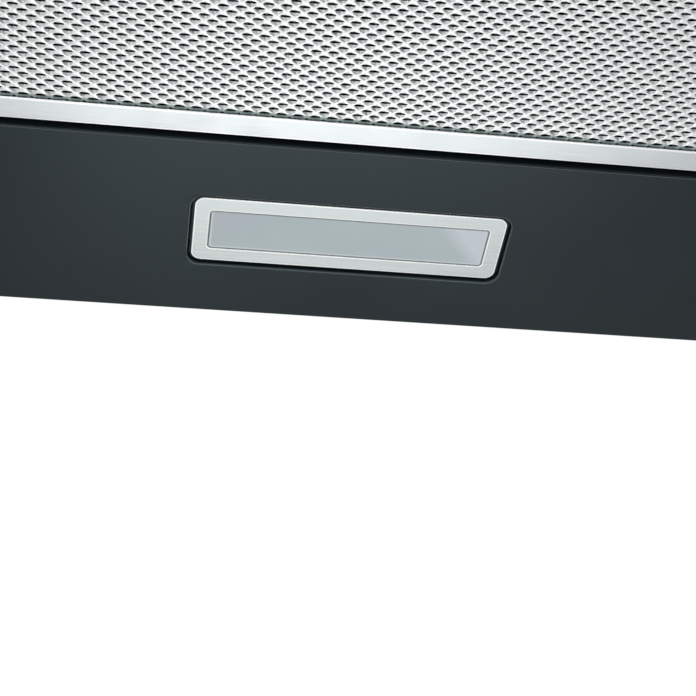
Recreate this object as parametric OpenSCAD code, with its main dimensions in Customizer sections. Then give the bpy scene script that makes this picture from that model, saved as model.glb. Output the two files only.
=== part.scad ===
// Chimney range hood with a pyramid canopy, two swing-down mesh filters and a telescopic chimney.
// The wall plane is Y = 0 and the front of the hood faces -Y.
// Z = 0 is the underside of the bottom frame, and X = 0 is the middle of the hood.

/* [Canopy] */
// Width of the hood
hood_w = 900; // [880:5:1000]
// Depth of the hood from the wall to the front
hood_d = 500; // [490:5:560]
// Height of the upright skirt
skirt_h = 60; // [58:1:80]
// Height of the canopy's flat top
canopy_h = 240; // [230:5:270]
// Width of the ledge that the flat top leaves round the chimney
ledge_w = 10; // [6:1:25]
// Thickness of the painted steel sheet
sheet_t = 1; // [0.8:0.1:1.5]
// Height of the bottom frame's upturned outer flange
rim_h = 18; // [16:1:19]

/* [Filter bays] */
// Depth of the strip behind the filters, which carries the lamps
rear_strip = 113; // [105:1:120]
// Width of one filter
filter_w = 400; // [380:5:405]
// Depth of one filter
filter_d = 320; // [300:5:325]
// Thickness of one filter
filter_h = 10; // [9:0.5:12]
// Width of the filter frame's folded face
face_w = 12; // [10:0.5:16]
// Gap between a filter and the walls of its bay
bay_gap = 2; // [1.8:0.1:3]
// How far a filter's face lies above the bottom frame's underside
filter_rise = 3.3; // [3.2:0.1:5]
// Height of the bay's upturned walls
bay_h = 14; // [13.5:0.5:18]
// Width of the bar between the two bays
centre_bar = 23; // [20:1:40]
// How far a filter's hinge pins lie from its rear face
hinge_back = 4; // [3.8:0.1:6]
// Radius of a filter's hinge pins
hinge_pin_r = 2; // [1.5:0.1:2.5]
// Columns of gaps in a filter's net
net_columns = 16; // [8:1:16]
// Rows of gaps in a filter's net
net_rows = 18; // [8:1:18]

/* [Lamps] */
// Width of a lamp's metal bezel
bezel_w = 158; // [140:1:200]
// Depth of a lamp's metal bezel
bezel_d = 41.5; // [38:0.5:48]
// Distance from the wall to the middle of a lamp
lamp_y = 55.5; // [45:0.5:60]
// Width of a lamp's lens
lens_w = 141; // [100:1:141]
// Depth of a lamp's lens
lens_d = 24; // [18:0.5:26]
// Depth of the pressed recess that a lamp sits in
recess_h = 3.5; // [3:0.1:5]

/* [Controls] */
// Diameter of a push button
button_d = 14; // [10:0.5:15]
// Distance from one push button to the next
button_pitch = 28; // [24:0.5:32]
// Height of the row of buttons above the underside
button_z = 39; // [38:0.5:42]
// Travel of a push button
button_travel = 3; // [1.5:0.5:4]

/* [Blower] */
// Outer diameter of the impeller
impeller_d = 142; // [130:1:146]
// Length of the impeller
impeller_l = 152; // [120:1:156]
// Number of impeller blades
blade_count = 42; // [24:1:48]
// Length of a blade from its inner to its outer edge
blade_depth = 12; // [9:0.5:14]
// Radius of the scroll at its cut-off
scroll_start_r = 77; // [76:0.5:82]
// Radius of the scroll where it meets the outlet's front wall
scroll_end_r = 108; // [100:1:109]
// Width of the blower housing
housing_w = 170; // [168:1:190]
// Radius of the motor
motor_r = 44; // [36:1:46]
// Radius of the motor shaft
shaft_r = 4; // [3:0.5:5]
// Outer diameter of the outlet collar, for a round duct
collar_d = 149; // [120:1:149]

/* [Chimney] */
// Width of the lower chimney
chimney_w = 280; // [276:2:300]
// Depth of the lower chimney
chimney_d = 250; // [246:2:270]
// Height of the lower chimney
lower_h = 400; // [360:10:500]
// Height of the upper chimney
upper_h = 400; // [300:10:500]
// How far the upper chimney stands out of the lower one at rest
upper_out = 160; // [150:5:200]
// Gap between the two chimneys
chimney_gap = 1.5; // [1:0.1:3]

/* [Wall fixing] */
// Thickness of the zinc-coated back panel
back_t = 1.2; // [1:0.1:2]
// Distance between the two columns of wall holes
wall_span_x = 240; // [200:5:260]
// Distance between the two rows of wall holes
wall_span_z = 120; // [100:5:130]
// Radius of a wall hole
wall_hole_r = 4; // [3:0.5:5]

/* [Hidden] */
$fn = 64;

// Finishes
paint = "#34393c";
zinc = "#b4b9bb";
stainless = "#cfd4d4";
aluminium = "#d6dadc";
white_plastic = "#eceeea";
black_plastic = "#1d1f20";
frosted = "#b6bfc4";
board_green = "#2f6b46";
steel = "#8f9498";
rubber = "#26282a";

// Clearances
eps = 0.01;
through = 1;
seat_gap = 0.3;
running_gap = 0.05;
screw_gap = 0.2;
corner_steps = 6;

// Canopy
neck_w = chimney_w + 2 * ledge_w;
neck_d = chimney_d + 2 * ledge_w;
slope_rise = canopy_h - skirt_h;
side_run = (hood_w - neck_w) / 2;
front_run = hood_d - neck_d;
return_w = 14;
return_screw_in = 0.62 * return_w;
upstand_h = 14;
opening_x = chimney_w / 2 - 2 * sheet_t - seat_gap;
opening_y = chimney_d - 2 * sheet_t - seat_gap;
chimney_back_gap = sheet_t + seat_gap;

// Filter bays
bay_w = filter_w + 2 * bay_gap;
bay_d = filter_d + 2 * bay_gap;
bay_x = (bay_w + centre_bar) / 2;
bay_y = -rear_strip - bay_d / 2;
lip_t = 0.8;
hinge_y = bay_y + filter_d / 2 - hinge_back;
hinge_rise = 3.7;
hinge_z = filter_rise + hinge_rise;
hinge_pin_in = 7;
hinge_pin_out = 2.5;
pin_room = 3;
net_t = 1.5;
net_side_gap = 0.2;
net_bar = 2.2;
core_pitch = 12;
core_t = 0.5;

// Filter catch
cup_x = 30;
cup_d = 30;
cup_t = 1.2;
cup_top_t = 1;
cup_flange_t = 1.5;
cup_flange_over = 5;
catch_travel = 6;
catch_block_x = 13;
catch_block_d = 14;
catch_block_h = 5.4;
tongue_x = 8;
tongue_t = 2;
tongue_z = 3;
tongue_gap = 0.4;
tongue_back = 0.4;
cup_window_y = cup_t + catch_travel / 2;
lip_x = 8;
lip_d = 4;
lip_drop = 3;

// Lamps
bezel_t = 2;
bezel_r = 5;
recess_margin = 2.5;
recess_r = 7;
lamp_z = recess_h - bezel_t;
lens_gap = 0.5;
lens_r = 1.5;
lens_face_in = 0.2;
lens_flange_t = 1.4;
reflector_margin = 2.6;
reflector_wall = 1.2;
reflector_h = 16;
reflector_slope = 10;
board_t = 1.6;
led_count = 8;
led_size = 3.5;
led_t = 0.8;

// Controls
button_count = 5;
fascia_t = 1.2;
fascia_over = 20;
fascia_h = 34;
fascia_r = 5;
button_gap = 0.3;
button_proud = 4;
button_cap_l = 12;
plunger_r = 3;
plunger_l = 6.4;
plunger_gap = 0.1;
window_margin = 9;
window_h = 22;
button_box_wall = 3;
button_box_end = 1;
button_box_ear = 6;
button_box_ear_drop = 2;
leg_w = 6;
switch_h = 3;
switch_w = 6;
button_row = (button_count - 1) * button_pitch;
button_box_x = button_row / 2 + button_d / 2 + button_box_wall + button_box_end;
button_box_z = window_h / 2 - button_box_end;
dish_r = 1.15 * button_d;
dish_out = 1.1 * button_d;
plate_y = -hood_d;
cap_front_y = plate_y - fascia_t - button_proud;
cap_back_y = cap_front_y + button_cap_l;
box_front_y = plate_y + sheet_t;
box_back_y = cap_back_y + button_travel + seat_gap + button_box_wall;
plunger_end_y = cap_back_y + plunger_l;
switch_y = plunger_end_y + button_travel + seat_gap;
board_y = switch_y + switch_h;

// Blower
blower_y = -chimney_d / 2;
blower_z = canopy_h + 10;
cutoff_angle = 50;
scroll_steps = 46;
housing_wall = 1.5;
seam_w = 6;
foot_w = 18;
foot_t = 2;
foot_l = 18;
foot_hole_x = 0.6 * foot_w;
outlet_h = 102;
outlet_d = 65;
outlet_z = blower_z + outlet_h;
outlet_back = blower_y + outlet_d;
deck_cut_angle = -12;
inlet_r = impeller_d / 2 - blade_depth - 5;
bell_r = 5;
impeller_r = impeller_d / 2;
blade_t = 0.7;
blade_sweep = 8;
blade_curve = 1.6;
blade_steps = 4;
ring_t = 2;
ring_over = 0.5;
hub_r = 13;
hub_l = 22;
hub_vent_count = 6;
hub_vent_r = 10;
disc_t = 2;
press_gap = 0.02;
bearing_r = 9;
bearing_l = 9;
motor_end_x = -housing_w / 2 - 6;
motor_front_x = -14;
bracket_t = 1.5;
bracket_hole_r = 0.4 * motor_r;
arm_w = 16;
arm_start = 5;
arm_count = 3;
mount_r = inlet_r + bell_r + 7;
rubber_r = 6;
motor_screw_r = 2;
can_edge = 5;
can_waist = 2;
can_back_l = 22;
can_front_l = 20;
can_shoulder_l = 12;
can_nose_l = 4;
can_nose_r = 7;
can_slot_count = 12;
can_slot_w = 6;
can_slot_l = 7;
can_slot_in = 9;
shaft_back = 8;
deck_t = 1.2;
deck_over = 8;
guard_wire_r = 1;
guard_ring_pitch = 15;
guard_in = 18;
guard_out = inlet_r + bell_r + guard_wire_r;
guard_rings = [guard_in, guard_in + guard_ring_pitch, guard_in + 2 * guard_ring_pitch, guard_out];
guard_spokes = 4;
guard_spoke_out = 1.6 * guard_wire_r;
foot_in = guard_out + 6;
deck_side_room = 3;

// Outlet collar and flaps
collar_t = 1.5;
collar_plate_t = 2;
collar_h = 47;
collar_y = (blower_y - scroll_end_r + outlet_back) / 2;
collar_r = collar_d / 2;
flap_t = 1.2;
flap_edge_gap = 2;
flap_pin_r = 1.5;
flap_barrel_r = 3;
flap_pin_y = 4.5;
flap_z = outlet_z + 10;
flap_gap = 0.1;
flap_barrel_x = collar_r * 0.8;
flap_stop = 3;
flap_stop_w = 10;

// Chimneys
return_chimney = 20;
upper_x = chimney_w / 2 - sheet_t - chimney_gap;
upper_front = chimney_d - sheet_t - chimney_gap;
upper_back = sheet_t + 0.5;
upper_top = canopy_h + lower_h + upper_out;
upper_bottom = upper_top - upper_h;
vent_count = 6;
vent_w = 4;
vent_l = 46;
vent_pitch = 9;
vent_drop = 20;
vent_at = [0.4, 0.68];
guide_t = chimney_gap - seat_gap;
guide_w = 12;
guide_h = 50;
guide_drop = 2;
guide_side_at = [0.2, 0.8];
guide_front_at = 0.3;
wall_bracket_t = 1.5;
bracket_clear = 1;
bracket_drop = 40;
bracket_h = 30;
bracket_wing = 42;
bracket_span = 160;

// Back panel
joggle_z = 6;
joggle_x = 0.4 * bay_w;
spine_w = 120;
spine_h = 190;
spine_slot_x = 0.3 * spine_w;
spine_slot_h = 8;
spine_slot_drop = [25, 60];
wall_hole_z = 140;
grommet_x = -215;
grommet_z = 95;
grommet_r = 9;
grommet_bore_r = 4;
grommet_lip = 3;
panel_y = -back_t - sheet_t;
panel_screw_z = [45, 62, 200];
screw_r = 1.8;
screw_head_r = 3.6;
screw_head_t = 2;

// Electrical parts
box_x = 195;
box_z = 105;
box_w = 84;
box_h = 66;
box_d = 40;
box_wall = 2;
lid_t = 2;
lid_lip = 3;
lid_slot_pitch = 6;
lid_slot_w = 2;
lid_slot_x = 20;
lid_slots = 7;
gland_r = 5;
gland_pitch = 24;
capacitor_x = -155;
capacitor_z = 80;
capacitor_r = 15;
capacitor_h = 62;
terminal_x = 5;
terminal_l = 8;
terminal_r = 1.6;
clip_t = 1;
clip_h = 14;
clip_wing = 14;
clip_split = 12;
clip_hole_x = 8;

// Shapes that repeat

module box(x0, x1, y0, y1, z0, z1) {
    translate([x0, y0, z0]) cube([x1 - x0, y1 - y0, z1 - z0]);
}

module centred_box(w, d, z0, z1) {
    box(-w / 2, w / 2, -d / 2, d / 2, z0, z1);
}

module along_x(x0, x1) {
    translate([x0, 0, 0]) rotate([90, 0, 90]) linear_extrude(x1 - x0) children();
}

module along_y(y0, y1) {
    translate([0, y1, 0]) rotate([90, 0, 0]) linear_extrude(y1 - y0) children();
}

module rod_x(x0, x1, y, z, r) {
    translate([x0, y, z]) rotate([0, 90, 0]) cylinder(h = x1 - x0, r = r);
}

module rod_y(y0, y1, x, z, r) {
    translate([x, y1, z]) rotate([90, 0, 0]) cylinder(h = y1 - y0, r = r);
}

// A rectangle with round corners, each a quarter of a turn in equal steps
function rounded_outline(w, d, r) = [
    for (corner = [0:3])
    let (x = corner == 0 || corner == 3 ? 1 : -1, y = corner < 2 ? 1 : -1)
    for (step = [0:corner_steps])
    let (a = (corner + step / corner_steps) * 90)
    [x * (w / 2 - r) + r * cos(a), y * (d / 2 - r) + r * sin(a)]
];

module rounded_plate(w, d, r, z0, z1) {
    translate([0, 0, z0]) linear_extrude(z1 - z0) polygon(rounded_outline(w, d, r));
}

// A sheet turned in at the rear: three walls of a rectangular tube and two flanges
module open_tube(half_w, front, back, wall, flange, z0, z1) {
    difference() {
        box(-half_w, half_w, -front, -back, z0, z1);
        box(-half_w + wall, half_w - wall, -front + wall, -back - wall, z0 - through, z1 + through);
        box(-half_w + flange, half_w - flange, -back - wall - eps, 0, z0 - through, z1 + through);
    }
}

// Canopy outlines, set in by the thickness i square to the sheet

function skirt_top(i, run) = skirt_h - i * (norm([run, slope_rise]) - slope_rise) / run;

function slope_at(neck, run, i, z) =
    neck + ((canopy_h - z) * run - i * norm([run, slope_rise])) / slope_rise;

function side_outline(i, z0, z1) =
    let (x0 = hood_w / 2 - i)
    let (x1 = slope_at(neck_w / 2, side_run, i, z1))
    let (zs = skirt_top(i, side_run))
    [[-x0, z0], [x0, z0], [x0, zs], [x1, z1], [-x1, z1], [-x0, zs]];

function depth_outline(i, z0, z1, back) =
    let (y0 = i - hood_d)
    let (y1 = -slope_at(neck_d, front_run, i, z1))
    let (zs = skirt_top(i, front_run))
    [[back, z0], [back, z1], [y1, z1], [y0, zs], [y0, z0]];

module canopy_form(i, z0, z1, back) {
    intersection() {
        along_y(-hood_d - through, back) polygon(side_outline(i, z0, z1));
        along_x(-hood_w / 2 - through, hood_w / 2 + through)
        polygon(depth_outline(i, z0, z1, back + through));
    }
}

// Screws

module panel_screw_places() {
    for (side = [-1, 1])
    for (z = panel_screw_z)
    let (edge = slope_at(neck_w / 2, side_run, sheet_t, max(z, skirt_h)))
    translate([side * (edge - return_screw_in), 0, z])
    children();
}

module chimney_screw_places() {
    for (side = [-1, 1])
    for (y = [-0.25, -0.75])
    translate([side * chimney_w / 2, y * chimney_d, canopy_h + upstand_h / 2])
    rotate([0, side * 90, 0])
    children();
}

module motor_mount_places() {
    for (k = [0:arm_count - 1])
    translate([0, blower_y, blower_z])
    rotate([k * 360 / arm_count + 90, 0, 0])
    translate([0, mount_r, 0])
    children();
}

module housing_screw_places() {
    for (side = [-1, 1])
    for (end = [-1, 1])
    translate([
        side * (housing_w / 2 + foot_hole_x),
        blower_y + end * (foot_in + foot_l / 2),
        canopy_h - sheet_t,
    ])
    children();
}

// Canopy, bottom frame and back panel

module canopy_shell() {
    color(paint)
    difference() {
        union() {
            difference() {
                canopy_form(0, 0, canopy_h, 0);
                canopy_form(sheet_t, -through, canopy_h - sheet_t, through);
                box(-opening_x, opening_x, -opening_y, through, canopy_h - 2 * sheet_t, canopy_h + through);
            }
            canopy_returns();
            neck_upstand();
        }
        box(
            -button_row / 2 - window_margin, button_row / 2 + window_margin,
            -hood_d - through, -hood_d + 2 * sheet_t,
            button_z - window_h / 2, button_z + window_h / 2
        );
        panel_screw_places() rod_y(panel_y - through, 0, 0, 0, screw_r + screw_gap);
        chimney_screw_places() cylinder(h = 8 * sheet_t, r = screw_r + screw_gap, center = true);
    }
}

// The side walls turn in behind the canopy, and the back panel lies on these returns
module canopy_returns() {
    z0 = rim_h + seat_gap;
    z1 = canopy_h - sheet_t;
    along_y(panel_y, -back_t)
    difference() {
        polygon(side_outline(sheet_t / 2, z0, z1));
        polygon(side_outline(sheet_t + return_w, z0 - through, z1 + through));
    }
}

// Walls turned up round the neck opening, which the lower chimney slips over
module neck_upstand() {
    z1 = canopy_h + upstand_h;
    wall_x = opening_x + sheet_t;
    difference() {
        box(-wall_x, wall_x, -opening_y - sheet_t, -chimney_back_gap, canopy_h - sheet_t, z1);
        box(-opening_x, opening_x, -opening_y, through, canopy_h - 2 * sheet_t, z1 + through);
    }
}

module bottom_frame() {
    pan_w = bezel_w + 2 * recess_margin;
    pan_d = bezel_d + 2 * recess_margin;
    frame_x = hood_w / 2 - sheet_t;
    color(paint)
    difference() {
        union() {
            difference() {
                box(-frame_x, frame_x, sheet_t - hood_d, 0, 0, rim_h);
                box(
                    sheet_t - frame_x, frame_x - sheet_t, 2 * sheet_t - hood_d, -sheet_t,
                    sheet_t, rim_h + through
                );
            }
            for (side = [-1, 1]) {
                translate([side * bay_x, bay_y, 0])
                centred_box(bay_w + 2 * sheet_t, bay_d + 2 * sheet_t, 0, bay_h);
                translate([side * bay_x, -lamp_y, 0])
                rounded_plate(
                    pan_w + 2 * sheet_t, pan_d + 2 * sheet_t, recess_r + sheet_t,
                    0, recess_h + sheet_t
                );
            }
        }
        for (side = [-1, 1]) {
            translate([side * bay_x, bay_y, 0]) {
                centred_box(bay_w, bay_d, -through, bay_h + through);
                rod_x(
                    -bay_w / 2 - 2 * sheet_t, bay_w / 2 + 2 * sheet_t,
                    hinge_y - bay_y, hinge_z, hinge_pin_r + running_gap
                );
                box(
                    -tongue_x - tongue_gap, tongue_x + tongue_gap,
                    -bay_d / 2 - 2 * sheet_t, -bay_d / 2 + through,
                    filter_rise + tongue_z - tongue_gap, filter_rise + tongue_z + tongue_t + tongue_gap
                );
            }
            translate([side * bay_x, -lamp_y, 0]) {
                rounded_plate(pan_w, pan_d, recess_r, -through, recess_h);
                centred_box(
                    lens_w + 2 * reflector_margin + 2 * seat_gap,
                    lens_d + 2 * reflector_margin + 2 * seat_gap,
                    0, recess_h + 2 * sheet_t
                );
            }
        }
    }
}

module back_panel() {
    z0 = rim_h + seat_gap;
    z1 = canopy_h - sheet_t;
    side_x = hood_w / 2 - sheet_t - seat_gap;
    color(zinc)
    difference() {
        union() {
            along_y(-back_t, 0) polygon(side_outline(sheet_t + seat_gap, z0, z1));
            box(-spine_w / 2, spine_w / 2, -back_t, 0, z1 - through, canopy_h + spine_h);
            for (side = [-1, 1])
            translate([side * bay_x, 0, 0])
            box(-joggle_x, joggle_x, -sheet_t - back_t, -sheet_t, joggle_z, z0 + back_t);
        }
        for (x = [-0.5, 0.5])
        for (z = [-0.5, 0.5])
        rod_y(-2 * back_t, through, x * wall_span_x, wall_hole_z + z * wall_span_z, wall_hole_r);
        panel_screw_places() rod_y(panel_y - through, through, 0, 0, screw_r + screw_gap);
        rod_y(-2 * back_t, through, grommet_x, grommet_z, grommet_r + running_gap);
        for (drop = spine_slot_drop)
        translate([0, 0, canopy_h + spine_h - drop])
        box(-spine_slot_x, spine_slot_x, -2 * back_t, through, -spine_slot_h / 2, spine_slot_h / 2);
    }
}

module panel_screws() {
    color(steel)
    panel_screw_places() {
        rod_y(panel_y - screw_head_t, panel_y, 0, 0, screw_head_r);
        rod_y(panel_y - eps, -seat_gap, 0, 0, screw_r);
    }
}

module cable_grommet() {
    color(rubber)
    difference() {
        union() {
            rod_y(-back_t - grommet_lip, -seat_gap, grommet_x, grommet_z, grommet_r);
            rod_y(-back_t - grommet_lip, -back_t, grommet_x, grommet_z, grommet_r + grommet_lip);
        }
        rod_y(-back_t - grommet_lip - through, through, grommet_x, grommet_z, grommet_bore_r);
    }
}

// Blower

function scroll_r(a, grow) =
    scroll_start_r + (scroll_end_r - scroll_start_r) * (cutoff_angle - a) / (cutoff_angle + 180) + grow;

// The scroll widens from its cut-off, round the bottom and up the front to the outlet
function scroll_outline(grow, top) = concat(
    [
        for (k = [0:scroll_steps])
        let (a = cutoff_angle - k * (cutoff_angle + 180) / scroll_steps)
        [blower_y + scroll_r(a, grow) * cos(a), blower_z + scroll_r(a, grow) * sin(a)]
    ],
    [[blower_y - scroll_end_r - grow, top], [outlet_back + grow, top]]
);

module blower_deck() {
    z1 = canopy_h - sheet_t;
    slot_front = blower_y - scroll_end_r - housing_wall - seam_w - seat_gap;
    slot_back = blower_y + scroll_r(deck_cut_angle, housing_wall + seam_w + seat_gap);
    slot_x = housing_w / 2 + seat_gap;
    motor_x = -motor_end_x + bracket_t + screw_head_t + deck_side_room;
    motor_y = foot_in - deck_side_room;
    color(zinc)
    difference() {
        box(
            -opening_x - deck_over, opening_x + deck_over,
            -opening_y - deck_over, panel_y - seat_gap, z1 - deck_t, z1
        );
        box(-slot_x, slot_x, slot_front, slot_back, z1 - 2 * deck_t, z1 + through);
        box(-motor_x, motor_x, blower_y - motor_y, blower_y + motor_y, z1 - 2 * deck_t, z1 + through);
        housing_screw_places() cylinder(h = 4 * deck_t, r = screw_r + screw_gap, center = true);
    }
}

// One half of the scroll, from its seam at X = 0 to its side wall
module housing_half() {
    inner_x = housing_w / 2 - housing_wall;
    difference() {
        union() {
            along_x(0, housing_w / 2) polygon(scroll_outline(housing_wall, outlet_z));
            along_x(0, housing_wall) polygon(scroll_outline(housing_wall + seam_w, outlet_z));
            for (end = [-1, 1])
            translate([inner_x, blower_y + end * (foot_in + foot_l / 2) - foot_l / 2, canopy_h - sheet_t])
            cube([foot_w + housing_wall, foot_l, foot_t]);
        }
        along_x(-through, inner_x) polygon(scroll_outline(0, outlet_z + through));
        rod_x(inner_x - through, housing_w / 2 + through, blower_y, blower_z, inlet_r + bell_r);
        housing_screw_places() cylinder(h = 6 * foot_t, r = screw_r + screw_gap, center = true);
        motor_mount_places() rod_x(-housing_w, housing_w, 0, 0, motor_screw_r + screw_gap);
    }
    translate([inner_x, blower_y, blower_z])
    rotate([0, 90, 0])
    inlet_bell();
}

// The side wall curls in round its inlet and leads the air into the impeller's eye
module inlet_bell() {
    rotate_extrude()
    intersection() {
        translate([inlet_r, housing_wall - bell_r]) square([bell_r, bell_r]);
        translate([inlet_r + bell_r, housing_wall - bell_r])
        difference() {
            circle(r = bell_r);
            circle(r = bell_r - housing_wall);
        }
    }
}

module inlet_guard() {
    guard_x = housing_w / 2 + guard_wire_r;
    color(steel)
    translate([guard_x, blower_y, blower_z])
    rotate([0, 90, 0]) {
        for (r = guard_rings)
        rotate_extrude() translate([r, 0]) circle(r = guard_wire_r, $fn = 24);
        for (k = [0:guard_spokes - 1])
        rotate([0, 90, (k + 0.5) * 360 / guard_spokes])
        translate([-guard_spoke_out, 0, guard_in - guard_wire_r])
        cylinder(h = guard_out - guard_in + 2 * guard_wire_r, r = guard_wire_r, $fn = 24);
    }
}

module motor_bracket() {
    color(zinc)
    difference() {
        union() {
            rod_x(motor_end_x - bracket_t, motor_end_x, blower_y, blower_z, motor_r);
            motor_mount_places() {
                box(motor_end_x - bracket_t, motor_end_x, arm_start - mount_r, 0, -arm_w / 2, arm_w / 2);
                rod_x(motor_end_x - bracket_t, motor_end_x, 0, 0, arm_w / 2);
            }
        }
        rod_x(motor_end_x - 2 * bracket_t, motor_end_x + through, blower_y, blower_z, bracket_hole_r);
        motor_mount_places()
        rod_x(motor_end_x - 2 * bracket_t, motor_end_x + through, 0, 0, motor_screw_r + screw_gap);
    }
}

module rubber_mounts() {
    color(rubber)
    motor_mount_places()
    difference() {
        rod_x(motor_end_x, -housing_w / 2, 0, 0, rubber_r);
        rod_x(motor_end_x - through, -housing_w / 2 + through, 0, 0, motor_screw_r + screw_gap);
    }
}

module motor_screws() {
    color(steel)
    motor_mount_places() {
        rod_x(motor_end_x - bracket_t - screw_head_t, motor_end_x - bracket_t, 0, 0, 2 * motor_screw_r);
        rod_x(motor_end_x - bracket_t - eps, -housing_w / 2 + 2 * housing_wall, 0, 0, motor_screw_r);
    }
}

module motor_can() {
    length = motor_front_x - motor_end_x;
    waist_r = motor_r - can_waist;
    color(steel)
    translate([motor_end_x, blower_y, blower_z])
    rotate([0, 90, 0])
    difference() {
        rotate_extrude()
        polygon([
            [0, 0], [motor_r - can_edge, 0], [motor_r, can_edge],
            [motor_r, can_back_l], [waist_r, can_back_l],
            [waist_r, length - can_front_l], [motor_r, length - can_front_l],
            [motor_r, length - can_shoulder_l], [motor_r - can_edge, length - can_nose_l],
            [bearing_r + can_nose_r, length - can_nose_l],
            [bearing_r + can_nose_r / 2, length], [0, length],
        ]);
        translate([0, 0, through]) cylinder(h = length, r = shaft_r + running_gap);
        translate([0, 0, length - bearing_l]) cylinder(h = bearing_l + through, r = bearing_r);
        for (k = [0:can_slot_count - 1])
        rotate([0, 0, k * 360 / can_slot_count])
        translate([motor_r - can_slot_in, -can_slot_w / 2, length - can_front_l + can_waist])
        cube([motor_r, can_slot_w, can_slot_l]);
    }
}

module motor_bearing() {
    color(zinc)
    translate([motor_front_x - bearing_l, blower_y, blower_z])
    rotate([0, 90, 0])
    difference() {
        cylinder(h = bearing_l, r = bearing_r - press_gap);
        translate([0, 0, -through]) cylinder(h = bearing_l + 2 * through, r = shaft_r + running_gap);
    }
}

module motor_shaft() {
    color(zinc)
    rod_x(motor_end_x + shaft_back, hub_l, blower_y, blower_z, shaft_r);
}

// A point of a blade at the part s of its depth, moved round by the thickness t
function blade_point(s, t) =
    let (r = impeller_r - blade_depth + s * (blade_depth - ring_over))
    let (a = blade_sweep * pow(s, blade_curve) + t / r * 180 / PI)
    [r * cos(a), r * sin(a)];

// A blade's outline: it leans forward more toward its outer edge
function blade_outline() = concat(
    [for (k = [0:blade_steps]) blade_point(k / blade_steps, 0)],
    [for (k = [blade_steps:-1:0]) blade_point(k / blade_steps, blade_t)]
);

module impeller() {
    color(black_plastic)
    translate([0, blower_y, blower_z])
    rotate([0, 90, 0])
    difference() {
        union() {
            for (k = [0:blade_count - 1])
            rotate([0, 0, k * 360 / blade_count])
            translate([0, 0, -impeller_l / 2])
            linear_extrude(impeller_l) polygon(blade_outline());
            for (end = [-1, 1])
            translate([0, 0, end * (impeller_l - ring_t) / 2])
            difference() {
                cylinder(h = ring_t, r = impeller_r, center = true);
                cylinder(h = 2 * ring_t, r = impeller_r - blade_depth - ring_over, center = true);
            }
            cylinder(h = disc_t, r = impeller_r, center = true);
            translate([0, 0, -disc_t / 2]) cylinder(h = hub_l, r = hub_r);
        }
        cylinder(h = 3 * hub_l, r = shaft_r + press_gap, center = true);
        for (k = [0:hub_vent_count - 1])
        rotate([0, 0, k * 360 / hub_vent_count])
        translate([(impeller_r - blade_depth + hub_r) / 2, 0, 0])
        cylinder(h = 2 * disc_t, r = hub_vent_r, center = true);
    }
}

module housing_screws() {
    color(steel)
    housing_screw_places() {
        translate([0, 0, foot_t]) cylinder(h = screw_head_t, r = screw_head_r);
        translate([0, 0, -2 * deck_t]) cylinder(h = foot_t + 2 * deck_t + eps, r = screw_r);
    }
}

// Outlet collar with its two gravity flaps

module outlet_collar() {
    front = blower_y - scroll_end_r - housing_wall;
    bore_r = collar_r - collar_t;
    stop_z = flap_z - outlet_z - flap_t / 2 - seat_gap;
    color(black_plastic)
    translate([0, 0, outlet_z])
    difference() {
        union() {
            box(-housing_w / 2, housing_w / 2, front, outlet_back + housing_wall, 0, collar_plate_t);
            translate([0, collar_y, 0]) cylinder(h = collar_h, r = collar_r, $fn = 96);
        }
        difference() {
            translate([0, collar_y, -through]) cylinder(h = collar_h + 2 * through, r = bore_r, $fn = 96);
            for (side = [-1, 1])
            translate([0, collar_y + side * bore_r, 0])
            centred_box(flap_stop_w, 2 * flap_stop, stop_z - flap_stop, stop_z);
        }
        for (side = [-1, 1])
        rod_x(-collar_d, collar_d, collar_y + side * flap_pin_y, flap_z - outlet_z, flap_pin_r + press_gap);
    }
}

module flap_pins() {
    pin_x = sqrt(pow(collar_r - seat_gap, 2) - pow(flap_pin_y + flap_pin_r, 2));
    color(steel)
    for (side = [-1, 1])
    rod_x(-pin_x, pin_x, collar_y + side * flap_pin_y, flap_z, flap_pin_r);
}

// Half a disc with a barrel that turns on its pin
module flap(side) {
    pin_y = side * flap_pin_y;
    disc_r = collar_r - collar_t - flap_edge_gap;
    color(white_plastic)
    translate([0, collar_y, flap_z])
    difference() {
        union() {
            intersection() {
                cylinder(h = flap_t, r = disc_r, center = true);
                box(
                    -collar_d, collar_d,
                    side > 0 ? flap_pin_y + flap_pin_r + seat_gap : -collar_d,
                    side > 0 ? collar_d : -flap_pin_y - flap_pin_r - seat_gap,
                    -flap_t, flap_t
                );
            }
            rod_x(-flap_barrel_x, flap_barrel_x, pin_y, 0, flap_barrel_r);
        }
        rod_x(-collar_d, collar_d, pin_y, 0, flap_pin_r + flap_gap);
    }
}

// Electrical parts on the back panel

module capacitor() {
    color(aluminium)
    translate([capacitor_x, -back_t - clip_t - capacitor_r, capacitor_z]) {
        cylinder(h = capacitor_h, r = capacitor_r);
        for (side = [-1, 1])
        translate([side * terminal_x, 0, capacitor_h - eps]) cylinder(h = terminal_l, r = terminal_r);
    }
}

module capacitor_clip() {
    y = -back_t - clip_t - capacitor_r;
    color(zinc)
    translate([capacitor_x, y, capacitor_z + capacitor_h / 2 - clip_h / 2])
    difference() {
        union() {
            cylinder(h = clip_h, r = capacitor_r + clip_t);
            box(
                -capacitor_r - clip_wing, capacitor_r + clip_wing,
                capacitor_r, capacitor_r + clip_t, 0, clip_h
            );
        }
        translate([0, 0, -through]) cylinder(h = clip_h + 2 * through, r = capacitor_r + press_gap);
        box(
            -clip_split / 2, clip_split / 2, -capacitor_r - 2 * clip_t, -capacitor_r + 2 * clip_t,
            -through, clip_h + through
        );
        for (side = [-1, 1])
        rod_y(
            capacitor_r - through, capacitor_r + 2 * clip_t,
            side * (capacitor_r + clip_hole_x), clip_h / 2, screw_r
        );
    }
}

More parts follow.
